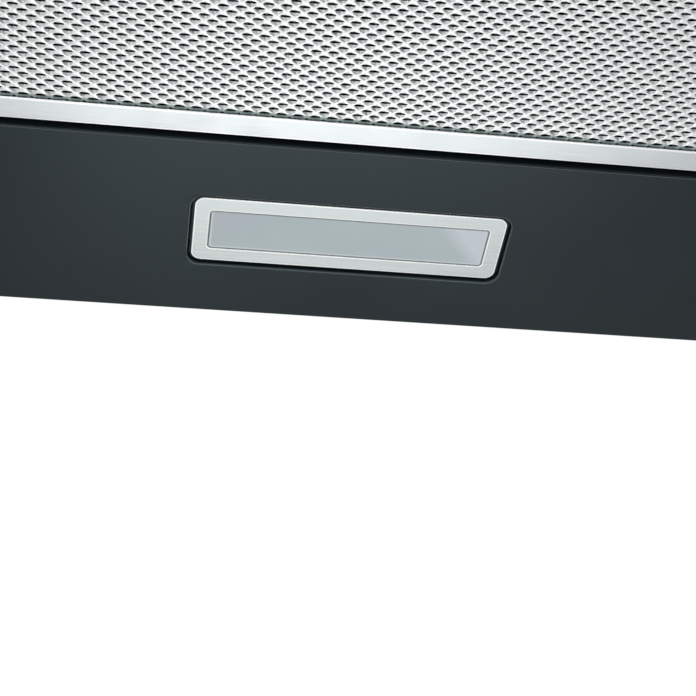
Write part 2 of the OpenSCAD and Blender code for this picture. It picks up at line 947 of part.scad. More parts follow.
module control_box() {
    color(white_plastic)
    translate([box_x, 0, box_z])
    difference() {
        box(-box_w / 2, box_w / 2, -back_t - box_d, -back_t, -box_h / 2, box_h / 2);
        box(
            -box_w / 2 + box_wall, box_w / 2 - box_wall,
            -back_t - box_d - through, -back_t - box_wall,
            -box_h / 2 + box_wall, box_h / 2 - box_wall
        );
        for (k = [-1:1])
        translate([k * gland_pitch, -back_t - box_d / 2, -box_h / 2 - through])
        cylinder(h = 3 * box_wall, r = gland_r);
    }
}

module control_box_lid() {
    y1 = -back_t - box_d;
    inset = box_wall + screw_gap;
    inner_x = box_w / 2 - inset;
    inner_z = box_h / 2 - inset;
    color(white_plastic)
    translate([box_x, 0, box_z])
    difference() {
        union() {
            box(-box_w / 2, box_w / 2, y1 - lid_t, y1, -box_h / 2, box_h / 2);
            box(-inner_x, inner_x, y1 - eps, y1 + lid_lip, -inner_z, inner_z);
        }
        box(lid_t - inner_x, inner_x - lid_t, y1, y1 + lid_lip + through, lid_t - inner_z, inner_z - lid_t);
        for (k = [0:lid_slots - 1])
        translate([0, 0, (k - (lid_slots - 1) / 2) * lid_slot_pitch])
        box(-lid_slot_x, lid_slot_x, y1 - lid_t - through, y1 + through, -lid_slot_w / 2, lid_slot_w / 2);
    }
}

// Chimneys

module lower_chimney() {
    color(paint)
    difference() {
        open_tube(chimney_w / 2, chimney_d, 0, sheet_t, return_chimney, canopy_h, canopy_h + lower_h);
        chimney_screw_places() cylinder(h = 8 * sheet_t, r = screw_r + screw_gap, center = true);
    }
}

module chimney_guides() {
    z1 = canopy_h + lower_h - guide_drop;
    x1 = chimney_w / 2 - sheet_t;
    y1 = chimney_d - sheet_t;
    color(white_plastic) {
        for (end = [0, 1])
        mirror([end, 0, 0]) {
            for (at = guide_side_at)
            translate([0, -at * chimney_d, 0])
            box(x1 - guide_t, x1, -guide_w / 2, guide_w / 2, z1 - guide_h, z1);
            translate([guide_front_at * chimney_w, 0, 0])
            box(-guide_w / 2, guide_w / 2, -y1, guide_t - y1, z1 - guide_h, z1);
        }
    }
}

module chimney_screws() {
    color(steel)
    chimney_screw_places() {
        cylinder(h = screw_head_t, r = screw_head_r);
        translate([0, 0, -3 * sheet_t]) cylinder(h = 3 * sheet_t + eps, r = screw_r);
    }
}

module upper_chimney() {
    z_vent = upper_top - vent_drop - (vent_count - 1) * vent_pitch;
    color(paint)
    difference() {
        open_tube(upper_x, upper_front, upper_back, sheet_t, return_chimney, upper_bottom, upper_top);
        for (k = [0:vent_count - 1])
        for (at = vent_at)
        translate([0, -at * chimney_d, z_vent + k * vent_pitch])
        centred_box(chimney_w, vent_l, 0, vent_w);
    }
}

// The wall bracket that holds the upper chimney, joggled round the turned-in edges
module wall_bracket() {
    z0 = upper_top - bracket_drop;
    z1 = z0 + bracket_h;
    x_wall = upper_x - return_chimney - through;
    x_wing = upper_x - sheet_t - seat_gap;
    y_joggle = upper_back + sheet_t + bracket_clear;
    color(zinc)
    difference() {
        union() {
            box(-x_wall, x_wall, -wall_bracket_t, 0, z0, z1);
            for (side = [0, 1]) mirror([side, 0, 0]) {
                box(x_wall - wall_bracket_t, x_wall, -y_joggle - wall_bracket_t, 0, z0, z1);
                box(x_wall - wall_bracket_t, x_wing, -y_joggle - wall_bracket_t, -y_joggle, z0, z1);
                box(x_wing - wall_bracket_t, x_wing, -bracket_wing, -y_joggle, z0, z1);
            }
        }
        for (side = [-1, 1])
        rod_y(-2 * wall_bracket_t, through, side * bracket_span / 2, (z0 + z1) / 2, wall_hole_r);
    }
}

// Controls in the front of the skirt

module button_places() {
    for (k = [0:button_count - 1])
    translate([(k - (button_count - 1) / 2) * button_pitch, 0, button_z])
    children();
}

module control_fascia() {
    color(stainless)
    difference() {
        translate([0, 0, button_z])
        along_y(plate_y - fascia_t, plate_y)
        polygon(rounded_outline(button_row + button_d + 2 * fascia_over, fascia_h, fascia_r));
        button_places() rod_y(plate_y - 2 * fascia_t, plate_y + through, 0, 0, button_d / 2 + button_gap);
    }
}

module button_housing() {
    ear_x = button_box_x + button_box_ear;
    z0 = button_z - button_box_z;
    z1 = button_z + button_box_z;
    color(black_plastic)
    difference() {
        union() {
            box(-ear_x, ear_x, box_front_y, box_front_y + button_box_wall, z0 - button_box_ear_drop, z1);
            box(-button_box_x, button_box_x, box_front_y, box_back_y, z0, z1);
            for (end = [0, 1])
            mirror([end, 0, 0])
            box(button_box_x - leg_w, button_box_x, box_back_y - eps, board_y, z0, z1);
        }
        button_places() {
            rod_y(box_front_y - through, box_back_y - button_box_wall, 0, 0, button_d / 2 + button_gap);
            rod_y(box_front_y - through, box_back_y + through, 0, 0, plunger_r + plunger_gap);
        }
    }
}

module switch_board() {
    z0 = button_z - button_box_z;
    z1 = button_z + button_box_z;
    color(board_green)
    union() {
        box(-button_box_x, button_box_x, board_y, board_y + board_t, z0, z1);
        button_places()
        box(-switch_w / 2, switch_w / 2, switch_y, board_y + eps, -switch_w / 2, switch_w / 2);
    }
}

module button(k) {
    color(stainless)
    translate([(k - (button_count + 1) / 2) * button_pitch, 0, button_z])
    difference() {
        union() {
            rod_y(cap_front_y, cap_back_y, 0, 0, button_d / 2);
            rod_y(cap_back_y - eps, plunger_end_y, 0, 0, plunger_r);
        }
        translate([0, cap_front_y - dish_out, 0]) sphere(r = dish_r);
    }
}

// Lamps in the rear strip

module lamp_bezel(side) {
    color(stainless)
    translate([side * bay_x, -lamp_y, 0])
    difference() {
        rounded_plate(bezel_w, bezel_d, bezel_r, lamp_z, recess_h);
        rounded_plate(
            lens_w + 2 * lens_gap, lens_d + 2 * lens_gap, lens_r + lens_gap,
            lamp_z - through, recess_h + through
        );
    }
}

module lamp_lens(side) {
    over = reflector_margin - reflector_wall - seat_gap;
    color(frosted)
    translate([side * bay_x, -lamp_y, 0])
    union() {
        rounded_plate(lens_w, lens_d, lens_r, lamp_z + lens_face_in, recess_h + eps);
        centred_box(lens_w + 2 * over, lens_d + 2 * over, recess_h, recess_h + lens_flange_t);
    }
}

// A white tray whose walls slope in toward the light sources
module lamp_reflector(side) {
    w = lens_w + 2 * reflector_margin;
    d = lens_d + 2 * reflector_margin;
    z1 = recess_h + lens_flange_t + seat_gap;
    z2 = recess_h + reflector_h - board_t - led_t;
    x1 = w / 2 - reflector_wall;
    y1 = d / 2 - reflector_wall;
    x2 = x1 - reflector_slope;
    y2 = led_size;
    color(white_plastic)
    translate([side * bay_x, -lamp_y, 0])
    difference() {
        centred_box(w, d, recess_h, recess_h + reflector_h);
        centred_box(2 * x1, 2 * y1, recess_h - through, z1);
        intersection() {
            along_y(-d, d) polygon([[-x1, z1 - eps], [x1, z1 - eps], [x2, z2], [-x2, z2]]);
            along_x(-w, w) polygon([[-y1, z1 - eps], [y1, z1 - eps], [y2, z2], [-y2, z2]]);
        }
        centred_box(2 * x2, 2 * y2, z2 - eps, recess_h + reflector_h + through);
    }
}

module lamp_board(side) {
    z0 = recess_h + reflector_h - board_t;
    x2 = lens_w / 2 + reflector_margin - reflector_wall - reflector_slope;
    pitch = 2 * x2 / led_count;
    color(board_green)
    translate([side * bay_x, -lamp_y, 0])
    union() {
        centred_box(2 * x2 - 2 * press_gap, 2 * led_size - 2 * press_gap, z0, z0 + board_t);
        for (k = [0:led_count - 1])
        translate([(k - (led_count - 1) / 2) * pitch, 0, 0])
        centred_box(led_size, led_size, z0 - led_t, z0 + eps);
    }
}

// Filters

module filter_place(side) {
    translate([side * bay_x, bay_y, filter_rise]) children();
}

// The slot that the catch's tongue passes through, from y0 to y1
module tongue_slot(y0, y1) {
    half_w = tongue_x + tongue_gap;
    box(-half_w, half_w, y0, y1, tongue_z - tongue_gap, tongue_z + tongue_t + tongue_gap);
}

module filter_frame(side) {
    color(aluminium)
    filter_place(side)
    difference() {
        centred_box(filter_w, filter_d, 0, filter_h);
        centred_box(filter_w - 2 * lip_t, filter_d - 2 * lip_t, lip_t, filter_h - lip_t);
        centred_box(filter_w - 2 * face_w, filter_d - 2 * face_w, -through, filter_h + through);
        tongue_slot(-filter_d / 2 - through, -filter_d / 2 + 2 * lip_t);
        rod_x(-filter_w, filter_w, filter_d / 2 - hinge_back, hinge_rise, hinge_pin_r + press_gap);
    }
    color(steel)
    filter_place(side)
    for (end = [0, 1])
    mirror([end, 0, 0])
    rod_x(
        filter_w / 2 - hinge_pin_in, filter_w / 2 + bay_gap + sheet_t + hinge_pin_out,
        filter_d / 2 - hinge_back, hinge_rise, hinge_pin_r
    );
}

// Room left in a filter's layers for the hinge pins and the catch
module filter_room() {
    for (end = [0, 1])
    mirror([end, 0, 0])
    box(
        filter_w / 2 - hinge_pin_in - seat_gap, filter_w,
        filter_d / 2 - hinge_back - pin_room, filter_d, -through, filter_h
    );
    box(
        -cup_x - seat_gap, cup_x + seat_gap,
        -filter_d, seat_gap + cup_d + face_w - filter_d / 2, -through, filter_h
    );
}

// A flat net of lens-shaped gaps, with each second row moved by half a gap
module flat_net(z0) {
    w = filter_w - 2 * lip_t - 2 * net_side_gap;
    d = filter_d - 2 * lip_t - 2 * net_side_gap;
    open_w = filter_w - 2 * face_w;
    open_d = filter_d - 2 * face_w;
    px = open_w / (net_columns + 0.5);
    py = open_d / net_rows;
    gap_x = px / 2 - net_bar / 2;
    gap_y = py / 2 - net_bar / 2;
    flat_x = 0.4 * gap_x;
    translate([0, 0, z0])
    difference() {
        centred_box(w, d, 0, net_t);
        for (row = [0:net_rows - 1])
        for (column = [0:net_columns - 1])
        translate([
            (column + 0.5 + (row % 2) / 2) * px - open_w / 2,
            (row + 0.5) * py - open_d / 2,
            -through,
        ])
        linear_extrude(net_t + 2 * through)
        polygon([
            [gap_x, 0], [flat_x, gap_y], [-flat_x, gap_y],
            [-gap_x, 0], [-flat_x, -gap_y], [flat_x, -gap_y],
        ]);
        translate([0, 0, -z0]) filter_room();
    }
}

module filter_net(side) {
    color(aluminium)
    filter_place(side)
    flat_net(lip_t);
}

module filter_back_net(side) {
    color(aluminium)
    filter_place(side)
    mirror([1, 0, 0])
    flat_net(filter_h - lip_t - net_t);
}

// The folds of the inner layer, as heights from one side to the other
function fold_line(z0, z1, folds, pitch) =
    [for (k = [0:folds]) [(k - folds / 2) * pitch, k % 2 == 0 ? z0 : z1]];

// A crimped inner layer, which holds the two nets apart
module filter_core(side) {
    w = filter_w - 2 * lip_t - 2 * net_side_gap;
    d = filter_d - 2 * lip_t - 2 * net_side_gap;
    folds = 2 * floor(w / core_pitch);
    z0 = lip_t + net_t;
    z1 = filter_h - lip_t - net_t - core_t;
    low = fold_line(z0, z1, folds, w / folds);
    high = fold_line(z0 + core_t, z1 + core_t, folds, w / folds);
    color(aluminium)
    filter_place(side)
    difference() {
        along_y(-d / 2, d / 2)
        polygon(concat(low, [for (k = [folds:-1:0]) high[k]]));
        filter_room();
    }
}

// A cup behind the front bar of the frame: the finger catch slides in it
module catch_place(side) {
    filter_place(side)
    translate([0, face_w - filter_d / 2 + seat_gap, 0])
    children();
}

module catch_cup(side) {
    flange_x = cup_x + cup_flange_over;
    top_z = filter_h - lip_t - cup_top_t;
    color(stainless)
    catch_place(side)
    difference() {
        union() {
            box(-cup_x, cup_x, 0, cup_d - seat_gap, -cup_flange_t, top_z);
            box(-flange_x, flange_x, cup_flange_over - face_w, cup_d + cup_flange_over, -cup_flange_t, 0);
        }
        box(cup_t - cup_x, cup_x - cup_t, cup_t, cup_d - seat_gap - cup_t, 0, top_z - cup_top_t);
        box(
            -lip_x - seat_gap, lip_x + seat_gap,
            cup_window_y, cup_d - 2 * cup_t, -cup_flange_t - through, through
        );
        tongue_slot(-through, 2 * cup_t);
    }
}

module filter_catch(side) {
    y1 = cup_d - 2 * cup_t - 2 * seat_gap;
    y0 = y1 - catch_block_d;
    color(stainless)
    catch_place(side)
    union() {
        box(-catch_block_x, catch_block_x, y0, y1, seat_gap, seat_gap + catch_block_h);
        box(-lip_x, lip_x, y1 - lip_d, y1, -lip_drop, seat_gap + eps);
        box(-tongue_x, tongue_x, tongue_back - face_w - seat_gap, y0 + eps, tongue_z, tongue_z + tongue_t);
    }
}

canopy_shell();
bottom_frame();
back_panel();
panel_screws();
cable_grommet();
blower_deck();
color(black_plastic) mirror([1, 0, 0]) housing_half();  // blower_housing_left
color(black_plastic) housing_half();  // blower_housing_right
inlet_guard();
motor_bracket();
motor_can();
motor_bearing();
motor_shaft();
impeller();
rubber_mounts();
motor_screws();
housing_screws();
outlet_collar();
flap_pins();
flap(-1);  // flap_front
flap(1);  // flap_rear
capacitor();
capacitor_clip();
control_box();
control_box_lid();
lower_chimney();
chimney_guides();
chimney_screws();
upper_chimney();
wall_bracket();
control_fascia();
button_housing();
switch_board();
button(1);  // button_1
button(2);  // button_2
button(3);  // button_3
button(4);  // button_4
button(5);  // button_5
lamp_bezel(-1);  // lamp_bezel_left
lamp_bezel(1);  // lamp_bezel_right
lamp_lens(-1);  // lamp_lens_left
lamp_lens(1);  // lamp_lens_right
lamp_reflector(-1);  // lamp_reflector_left
lamp_reflector(1);  // lamp_reflector_right
lamp_board(-1);  // lamp_board_left
lamp_board(1);  // lamp_board_right
filter_frame(-1);  // filter_frame_left
filter_frame(1);  // filter_frame_right
filter_net(-1);  // filter_net_left
filter_net(1);  // filter_net_right
filter_core(-1);  // filter_core_left
filter_core(1);  // filter_core_right
filter_back_net(-1);  // filter_back_net_left
filter_back_net(1);  // filter_back_net_right
catch_cup(-1);  // catch_cup_left
catch_cup(1);  // catch_cup_right
filter_catch(-1);  // filter_catch_left
filter_catch(1);  // filter_catch_right
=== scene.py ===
"""A wall chimney range hood with two net filters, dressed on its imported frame.

The painted sheet, the filters and the lamps get pieces of their own, the other
sub-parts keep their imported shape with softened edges, and each gets a finish
for what it is made of.
"""
import logging
import math
from collections.abc import Callable, Iterable
from dataclasses import dataclass
from enum import Enum

import bmesh
import bpy
from mathutils import Matrix, Vector


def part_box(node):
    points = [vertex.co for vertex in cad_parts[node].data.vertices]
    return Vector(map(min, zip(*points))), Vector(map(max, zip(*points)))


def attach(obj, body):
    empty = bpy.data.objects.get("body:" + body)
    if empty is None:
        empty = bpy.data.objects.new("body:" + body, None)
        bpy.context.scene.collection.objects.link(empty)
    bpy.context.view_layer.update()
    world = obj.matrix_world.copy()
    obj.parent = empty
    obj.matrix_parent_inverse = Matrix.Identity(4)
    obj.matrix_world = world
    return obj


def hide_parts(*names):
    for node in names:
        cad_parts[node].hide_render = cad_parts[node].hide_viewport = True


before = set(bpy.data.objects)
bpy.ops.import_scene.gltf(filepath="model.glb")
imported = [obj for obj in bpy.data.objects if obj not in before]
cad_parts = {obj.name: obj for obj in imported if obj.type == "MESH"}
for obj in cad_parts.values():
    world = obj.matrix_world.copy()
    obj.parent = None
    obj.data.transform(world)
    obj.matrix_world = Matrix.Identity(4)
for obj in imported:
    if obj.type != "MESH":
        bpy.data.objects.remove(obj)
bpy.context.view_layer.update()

MM = 0.001
FILTER_Z = 3.3 * MM

# Points closer than TOUCH are one, folds below FLAT are no fold, and folds above SHARP are rounded (radians)
TOUCH = 0.001 * MM
FLAT = math.radians(1.0)
SHARP = 1.0

log = logging.getLogger("hood")


class Part(Enum):
    """Which part of a mesh an edit works on."""

    POINT = "VERT"
    EDGE = "EDGE"
    FACE = "FACE"


class Side(Enum):
    """The left-hand and right-hand copy of what the hood has twice."""

    LEFT = -1
    RIGHT = 1

    @property
    def word(self) -> str:
        """The end of the names of this side's sub-parts."""
        return self.name.lower()


# Small helpers for nodes and colours


def linear(code: str) -> tuple[float, float, float, float]:
    """Turns an sRGB hex value into a linear colour.

    Args:
        code: The colour as #rrggbb.

    Returns:
        Linear red, green and blue, and a full alpha.
    """
    parts = [int(code[place:place + 2], 16) / 255 for place in (1, 3, 5)]
    bent = [part / 12.92 if part <= 0.04045 else ((part + 0.055) / 1.055) ** 2.4 for part in parts]
    return (bent[0], bent[1], bent[2], 1.0)


def add(
    tree: bpy.types.NodeTree,
    kind: str,
    values: dict[str | int, object] | None = None,
    links: dict[str | int, bpy.types.NodeSocket] | None = None,
    **settings: object,
) -> bpy.types.Node:
    """Adds a node with its settings, its values and what is linked into it.

    Args:
        tree: The tree that the node goes into.
        kind: Blender's name for the node's type.
        values: What its input sockets are set to.
        links: The sockets that are linked into its inputs.
        **settings: The node's own settings.

    Returns:
        The new node.
    """
    made = tree.nodes.new(kind)
    for name, value in settings.items():
        setattr(made, name, value)
    for name, value in (values or {}).items():
        made.inputs[name].default_value = value
    for name, source in (links or {}).items():
        tree.links.new(source, made.inputs[name])
    return made


def place_in(
    tree: bpy.types.NodeTree,
    stretch: tuple[float, float, float] = (1.0, 1.0, 1.0),
    centre: tuple[float, float, float] = (0.0, 0.0, 0.0),
) -> bpy.types.NodeSocket:
    """Gives the place on a piece, centred on a point and stretched.

    Args:
        tree: The tree that the nodes go into.
        stretch: What each axis is multiplied by.
        centre: The point of the piece that becomes the pattern's middle, in metres.

    Returns:
        The socket that carries the place.
    """
    place = add(tree, "ShaderNodeTexCoord")
    shift = tuple(-part * factor for part, factor in zip(centre, stretch))
    mapped = add(
        tree, "ShaderNodeMapping",
        {"Location": shift, "Scale": stretch},
        {"Vector": place.outputs["Object"]},
    )
    return mapped.outputs["Vector"]


def grain(
    tree: bpy.types.NodeTree,
    place: bpy.types.NodeSocket,
    size_mm: float,
    detail: float = 2.0,
) -> bpy.types.NodeSocket:
    """Gives a noise whose spots are about as large as a real size.

    Args:
        tree: The tree that the nodes go into.
        place: The socket with the place on the piece.
        size_mm: The size of a spot in millimetres.
        detail: How many finer layers the noise has.

    Returns:
        The socket with the noise, from 0 to 1.
    """
    noise = add(
        tree, "ShaderNodeTexNoise",
        {"Scale": 1 / (size_mm * MM), "Detail": detail}, {"Vector": place},
    )
    return noise.outputs["Fac"]


def spread(
    tree: bpy.types.NodeTree,
    source: bpy.types.NodeSocket,
    low: float,
    high: float,
    start: float = 0.3,
    stop: float = 0.7,
) -> bpy.types.NodeSocket:
    """Maps a noise to a range of values.

    Args:
        tree: The tree that the node goes into.
        source: The socket with the noise.
        low: The value at start.
        high: The value at stop.
        start: The noise that gives the low value.
        stop: The noise that gives the high value.

    Returns:
        The socket with the mapped value.
    """
    mapped = add(
        tree, "ShaderNodeMapRange",
        {"From Min": start, "From Max": stop, "To Min": low, "To Max": high},
        {"Value": source},
    )
    return mapped.outputs["Result"]


def tint(
    tree: bpy.types.NodeTree,
    source: bpy.types.NodeSocket,
    stops: Iterable[tuple[float, str]],
) -> bpy.types.NodeSocket:
    """Colours a value by a ramp of sRGB colours.

    Args:
        tree: The tree that the node goes into.
        source: The socket with the value, from 0 to 1.
        stops: The places on the ramp, each with its colour.

    Returns:
        The socket with the colour.
    """
    ramp = add(tree, "ShaderNodeValToRGB", links={"Fac": source})
    elements = ramp.color_ramp.elements
    for number, (where, code) in enumerate(stops):
        element = elements[number] if number < 2 else elements.new(where)
        element.position = where
        element.color = linear(code)
    return ramp.outputs["Color"]


def bump(
    tree: bpy.types.NodeTree,
    source: bpy.types.NodeSocket,
    depth_mm: float,
    strength: float = 1.0,
    below: bpy.types.NodeSocket | None = None,
) -> bpy.types.NodeSocket:
    """Raises a surface by a pattern.

    Args:
        tree: The tree that the node goes into.
        source: The socket with the pattern's height, from 0 to 1.
        depth_mm: How high the pattern stands, in millimetres.
        strength: How much of it shows.
        below: The normal of a pattern beneath this one.

    Returns:
        The socket with the bent normal.
    """
    links = {"Height": source}
    if below is not None:
        links["Normal"] = below
    bent = add(tree, "ShaderNodeBump", {"Distance": depth_mm * MM, "Strength": strength}, links)
    return bent.outputs["Normal"]


def inward(
    tree: bpy.types.NodeTree,
    centre: tuple[float, float, float],
    half: tuple[float, float],
) -> tuple[bpy.types.NodeSocket, bpy.types.NodeSocket]:
    """Measures how far a place lies inside a rectangle's sides.

    Args:
        tree: The tree that the nodes go into.
        centre: The rectangle's middle on the piece.
        half: Half its width along X and along Y.

    Returns:
        The socket with the distance from the nearest side, and the one with the difference of both distances.
    """
    split = add(tree, "ShaderNodeSeparateXYZ", links={"Vector": place_in(tree, centre=centre)})
    rest = []
    for axis, reach in zip("XY", half):
        size = add(tree, "ShaderNodeMath", links={0: split.outputs[axis]}, operation="ABSOLUTE")
        left = add(tree, "ShaderNodeMath", {0: reach}, {1: size.outputs["Value"]}, operation="SUBTRACT")
        rest.append(left.outputs["Value"])
    near = add(tree, "ShaderNodeMath", links={0: rest[0], 1: rest[1]}, operation="MINIMUM")
    gap = add(tree, "ShaderNodeMath", links={0: rest[0], 1: rest[1]}, operation="SUBTRACT")
    return near.outputs["Value"], gap.outputs["Value"]


def past_edge(
    tree: bpy.types.NodeTree,
    centre: tuple[float, float, float],
    half: tuple[float, float],
    radius: float,
) -> bpy.types.NodeSocket:
    """Measures how far a place lies outside a rectangle with rounded corners that lies flat.

    Args:
        tree: The material's tree.
        centre: The middle of the rectangle.
        half: Half its sides along x and y.
        radius: The radius of its corners.

    Returns:
        The socket with the distance, which is below nothing inside.
    """
    place = place_in(tree, centre=centre)
    size = add(tree, "ShaderNodeVectorMath", links={0: place}, operation="ABSOLUTE")
    core = (half[0] - radius, half[1] - radius, 1.0)
    past = add(tree, "ShaderNodeVectorMath", {1: core}, {0: size.outputs["Vector"]}, operation="SUBTRACT")
    kept = add(
        tree, "ShaderNodeVectorMath", {1: (0.0, 0.0, 0.0)}, {0: past.outputs["Vector"]}, operation="MAXIMUM",
    )
    away = add(tree, "ShaderNodeVectorMath", links={0: kept.outputs["Vector"]}, operation="LENGTH")
    out = add(tree, "ShaderNodeMath", {1: radius}, {0: away.outputs["Value"]}, operation="SUBTRACT")
    return out.outputs["Value"]


def blend_in(
    tree: bpy.types.NodeTree,
    colour: bpy.types.NodeSocket,
    share: bpy.types.NodeSocket,
    code: str,
) -> bpy.types.NodeSocket:
    """Mixes a second colour into one by a share from 0 to 1."""
    mixed = add(
        tree, "ShaderNodeMix", {"B": linear(code)}, {"Factor": share, "A": colour}, data_type="RGBA",
    )
    return mixed.outputs["Result"]


# Finishes


@dataclass(frozen=True)
class Finish:
    """A finish: a name and the material that is made from it once."""

    name: str

    def material(self) -> bpy.types.Material:
        """Gives the finish's material, and makes it the first time."""
        made = bpy.data.materials.get(self.name)
        if made is None:
            made = bpy.data.materials.new(self.name)
            made.use_nodes = True
            tree = made.node_tree
            tree.nodes.clear()
            shader = add(tree, "ShaderNodeBsdfPrincipled")
            add(tree, "ShaderNodeOutputMaterial", links={"Surface": shader.outputs["BSDF"]})
            self.dress(tree, shader)
        return made

    def dress(self, tree: bpy.types.NodeTree, shader: bpy.types.Node) -> None:
        """Sets the shader of the finish.

        Args:
            tree: The material's tree.
            shader: Its Principled shader.
        """
        raise NotImplementedError


@dataclass(frozen=True)
class PowderCoat(Finish):
    """Baked polyester powder on steel: a dark satin film with a faint orange peel."""

    deep: str = "#10161a"
    light: str = "#141b1e"
    peel_mm: float = 1.1
    roughness: tuple[float, float] = (0.25, 0.28)

    def dress(self, tree: bpy.types.NodeTree, shader: bpy.types.Node) -> None:
        """Clouds the colour a little, and bends the gloss by the peel and the grit."""
        place = place_in(tree)
        cloud = grain(tree, place, 90.0, 2.0)
        fleck = grain(tree, place, 0.35, 1.0)
        peel = grain(tree, place, self.peel_mm, 1.0)
        colour = tint(tree, cloud, [(0.35, self.deep), (0.65, self.light)])
        tree.links.new(colour, shader.inputs["Base Color"])
        tree.links.new(spread(tree, cloud, *self.roughness), shader.inputs["Roughness"])
        soft = bump(tree, peel, 0.012)
        tree.links.new(bump(tree, fleck, 0.004, below=soft), shader.inputs["Normal"])
        shader.inputs["IOR"].default_value = 1.5
        shader.inputs["Specular IOR Level"].default_value = 0.41
        shader.inputs["Specular Tint"].default_value = linear("#dff7ff")


@dataclass(frozen=True)
class BrushedSteel(Finish):
    """Stainless steel brushed with a belt: fine lines along one axis, which draw the gloss across them."""

    dark: str = "#c1c9c8"
    bright: str = "#d6dcdb"
    along: int = 0
    line_mm: float = 0.35
    line_l_mm: float = 40.0
    roughness: tuple[float, float] = (0.26, 0.42)

    def dress(self, tree: bpy.types.NodeTree, shader: bpy.types.Node) -> None:
        """Draws the lines as a noise that is stretched along the belt's way."""
        stretch = [self.line_l_mm / self.line_mm] * 3
        stretch[self.along] = 1.0
        place = place_in(tree, tuple(stretch))
        lines = grain(tree, place, self.line_l_mm, 4.0)
        tree.links.new(self.shade(tree, lines), shader.inputs["Base Color"])
        tree.links.new(spread(tree, lines, *self.roughness), shader.inputs["Roughness"])
        tree.links.new(bump(tree, lines, 0.01, 0.4), shader.inputs["Normal"])
        shader.inputs["Metallic"].default_value = 1.0

    def shade(self, tree: bpy.types.NodeTree, lines: bpy.types.NodeSocket) -> bpy.types.NodeSocket:
        """Gives the colour of the metal along the lines."""
        return tint(tree, lines, [(0.3, self.dark), (0.7, self.bright)])


@dataclass(frozen=True)
class BezelSteel(BrushedSteel):
    """Belt-brushed steel, punched and deburred, with a painted highlight along its outer and inner edges."""

    middle: tuple[float, float, float] = (0.0, 0.0, 0.0)
    outline: tuple[float, float, float] = (79 * MM, 20.75 * MM, 5 * MM)
    opening: tuple[float, float, float] = (71 * MM, 12.5 * MM, 2 * MM)

    def shade(self, tree: bpy.types.NodeTree, lines: bpy.types.NodeSocket) -> bpy.types.NodeSocket:
        """Paints a highlight on the metal near both edges."""
        colour = super().shade(tree, lines)
        x, y, radius = self.outline
        outer = past_edge(tree, self.middle, (x, y), radius)
        colour = blend_in(tree, colour, spread(tree, outer, 0.0, 1.0, -0.9 * MM, -0.6 * MM), "#fdfefe")
        x, y, radius = self.opening
        inner = past_edge(tree, self.middle, (x, y), radius)
        return blend_in(tree, colour, spread(tree, inner, 1.0, 0.0, 0.45 * MM, 0.75 * MM), "#fdfefe")


@dataclass(frozen=True)
class RolledAluminium(Finish):
    """Bare rolled aluminium sheet: a soft bright metal with faint lines of the roller and a dull bloom."""

    dark: str = "#d2d7d8"
    bright: str = "#dde1e2"
    along: int = 0
    roughness: tuple[float, float] = (0.3, 0.38)
    mitre: tuple[float, float, float] | None = None
    half: tuple[float, float] = (200 * MM, 160 * MM)
    face: float = 12 * MM
    painted_fold_highlight: tuple[float, float] = (1.2 * MM, 0.8 * MM)

    def dress(self, tree: bpy.types.NodeTree, shader: bpy.types.Node) -> None:
        """Lines the metal along the roller's way, and draws the mitred corners of a frame if it has them,
        with a painted highlight along its folds.
        """
        stretch = [30.0, 30.0, 30.0]
        stretch[self.along] = 1.0
        lines = grain(tree, place_in(tree, tuple(stretch)), 25.0, 3.0)
        bloom = grain(tree, place_in(tree), 18.0, 3.0)
        both = add(tree, "ShaderNodeMath", links={0: lines, 1: bloom}, operation="MULTIPLY")
        colour = tint(tree, both.outputs["Value"], [(0.12, self.dark), (0.4, self.bright)])
        roughness = spread(tree, bloom, *self.roughness)
        normal = bump(tree, lines, 0.006, 0.4)
        if self.mitre is not None:
            # the first share is a painted highlight on the folds, the second the dark mitre seams
            for share, code in zip(self.corners(tree), ("#fdfefe", "#565b5e")):
                colour = blend_in(tree, colour, share, code)
        tree.links.new(colour, shader.inputs["Base Color"])
        tree.links.new(roughness, shader.inputs["Roughness"])
        tree.links.new(normal, shader.inputs["Normal"])
        shader.inputs["Metallic"].default_value = 1.0

    def corners(self, tree: bpy.types.NodeTree) -> tuple[bpy.types.NodeSocket, bpy.types.NodeSocket]:
        """Finds a painted highlight line along the frame's two folds, and a seam across each mitred corner.

        Args:
            tree: The material's tree.

        Returns:
            The sockets that give 1 on the folds and on the seams.
        """
        near, gap = inward(tree, self.mitre, self.half)
        across = add(tree, "ShaderNodeMath", {1: self.face / 2}, {0: near}, operation="SUBTRACT")
        fold = add(tree, "ShaderNodeMath", links={0: across.outputs["Value"]}, operation="ABSOLUTE")
        start, stop = (self.face / 2 - width for width in self.painted_fold_highlight)
        bright = spread(tree, fold.outputs["Value"], 0.0, 1.0, start, stop)
        wide = add(tree, "ShaderNodeMath", links={0: gap}, operation="ABSOLUTE")
        seam = add(tree, "ShaderNodeMath", {1: 0.22 * MM}, {0: wide.outputs["Value"]}, operation="LESS_THAN")
        return bright, seam.outputs["Value"]


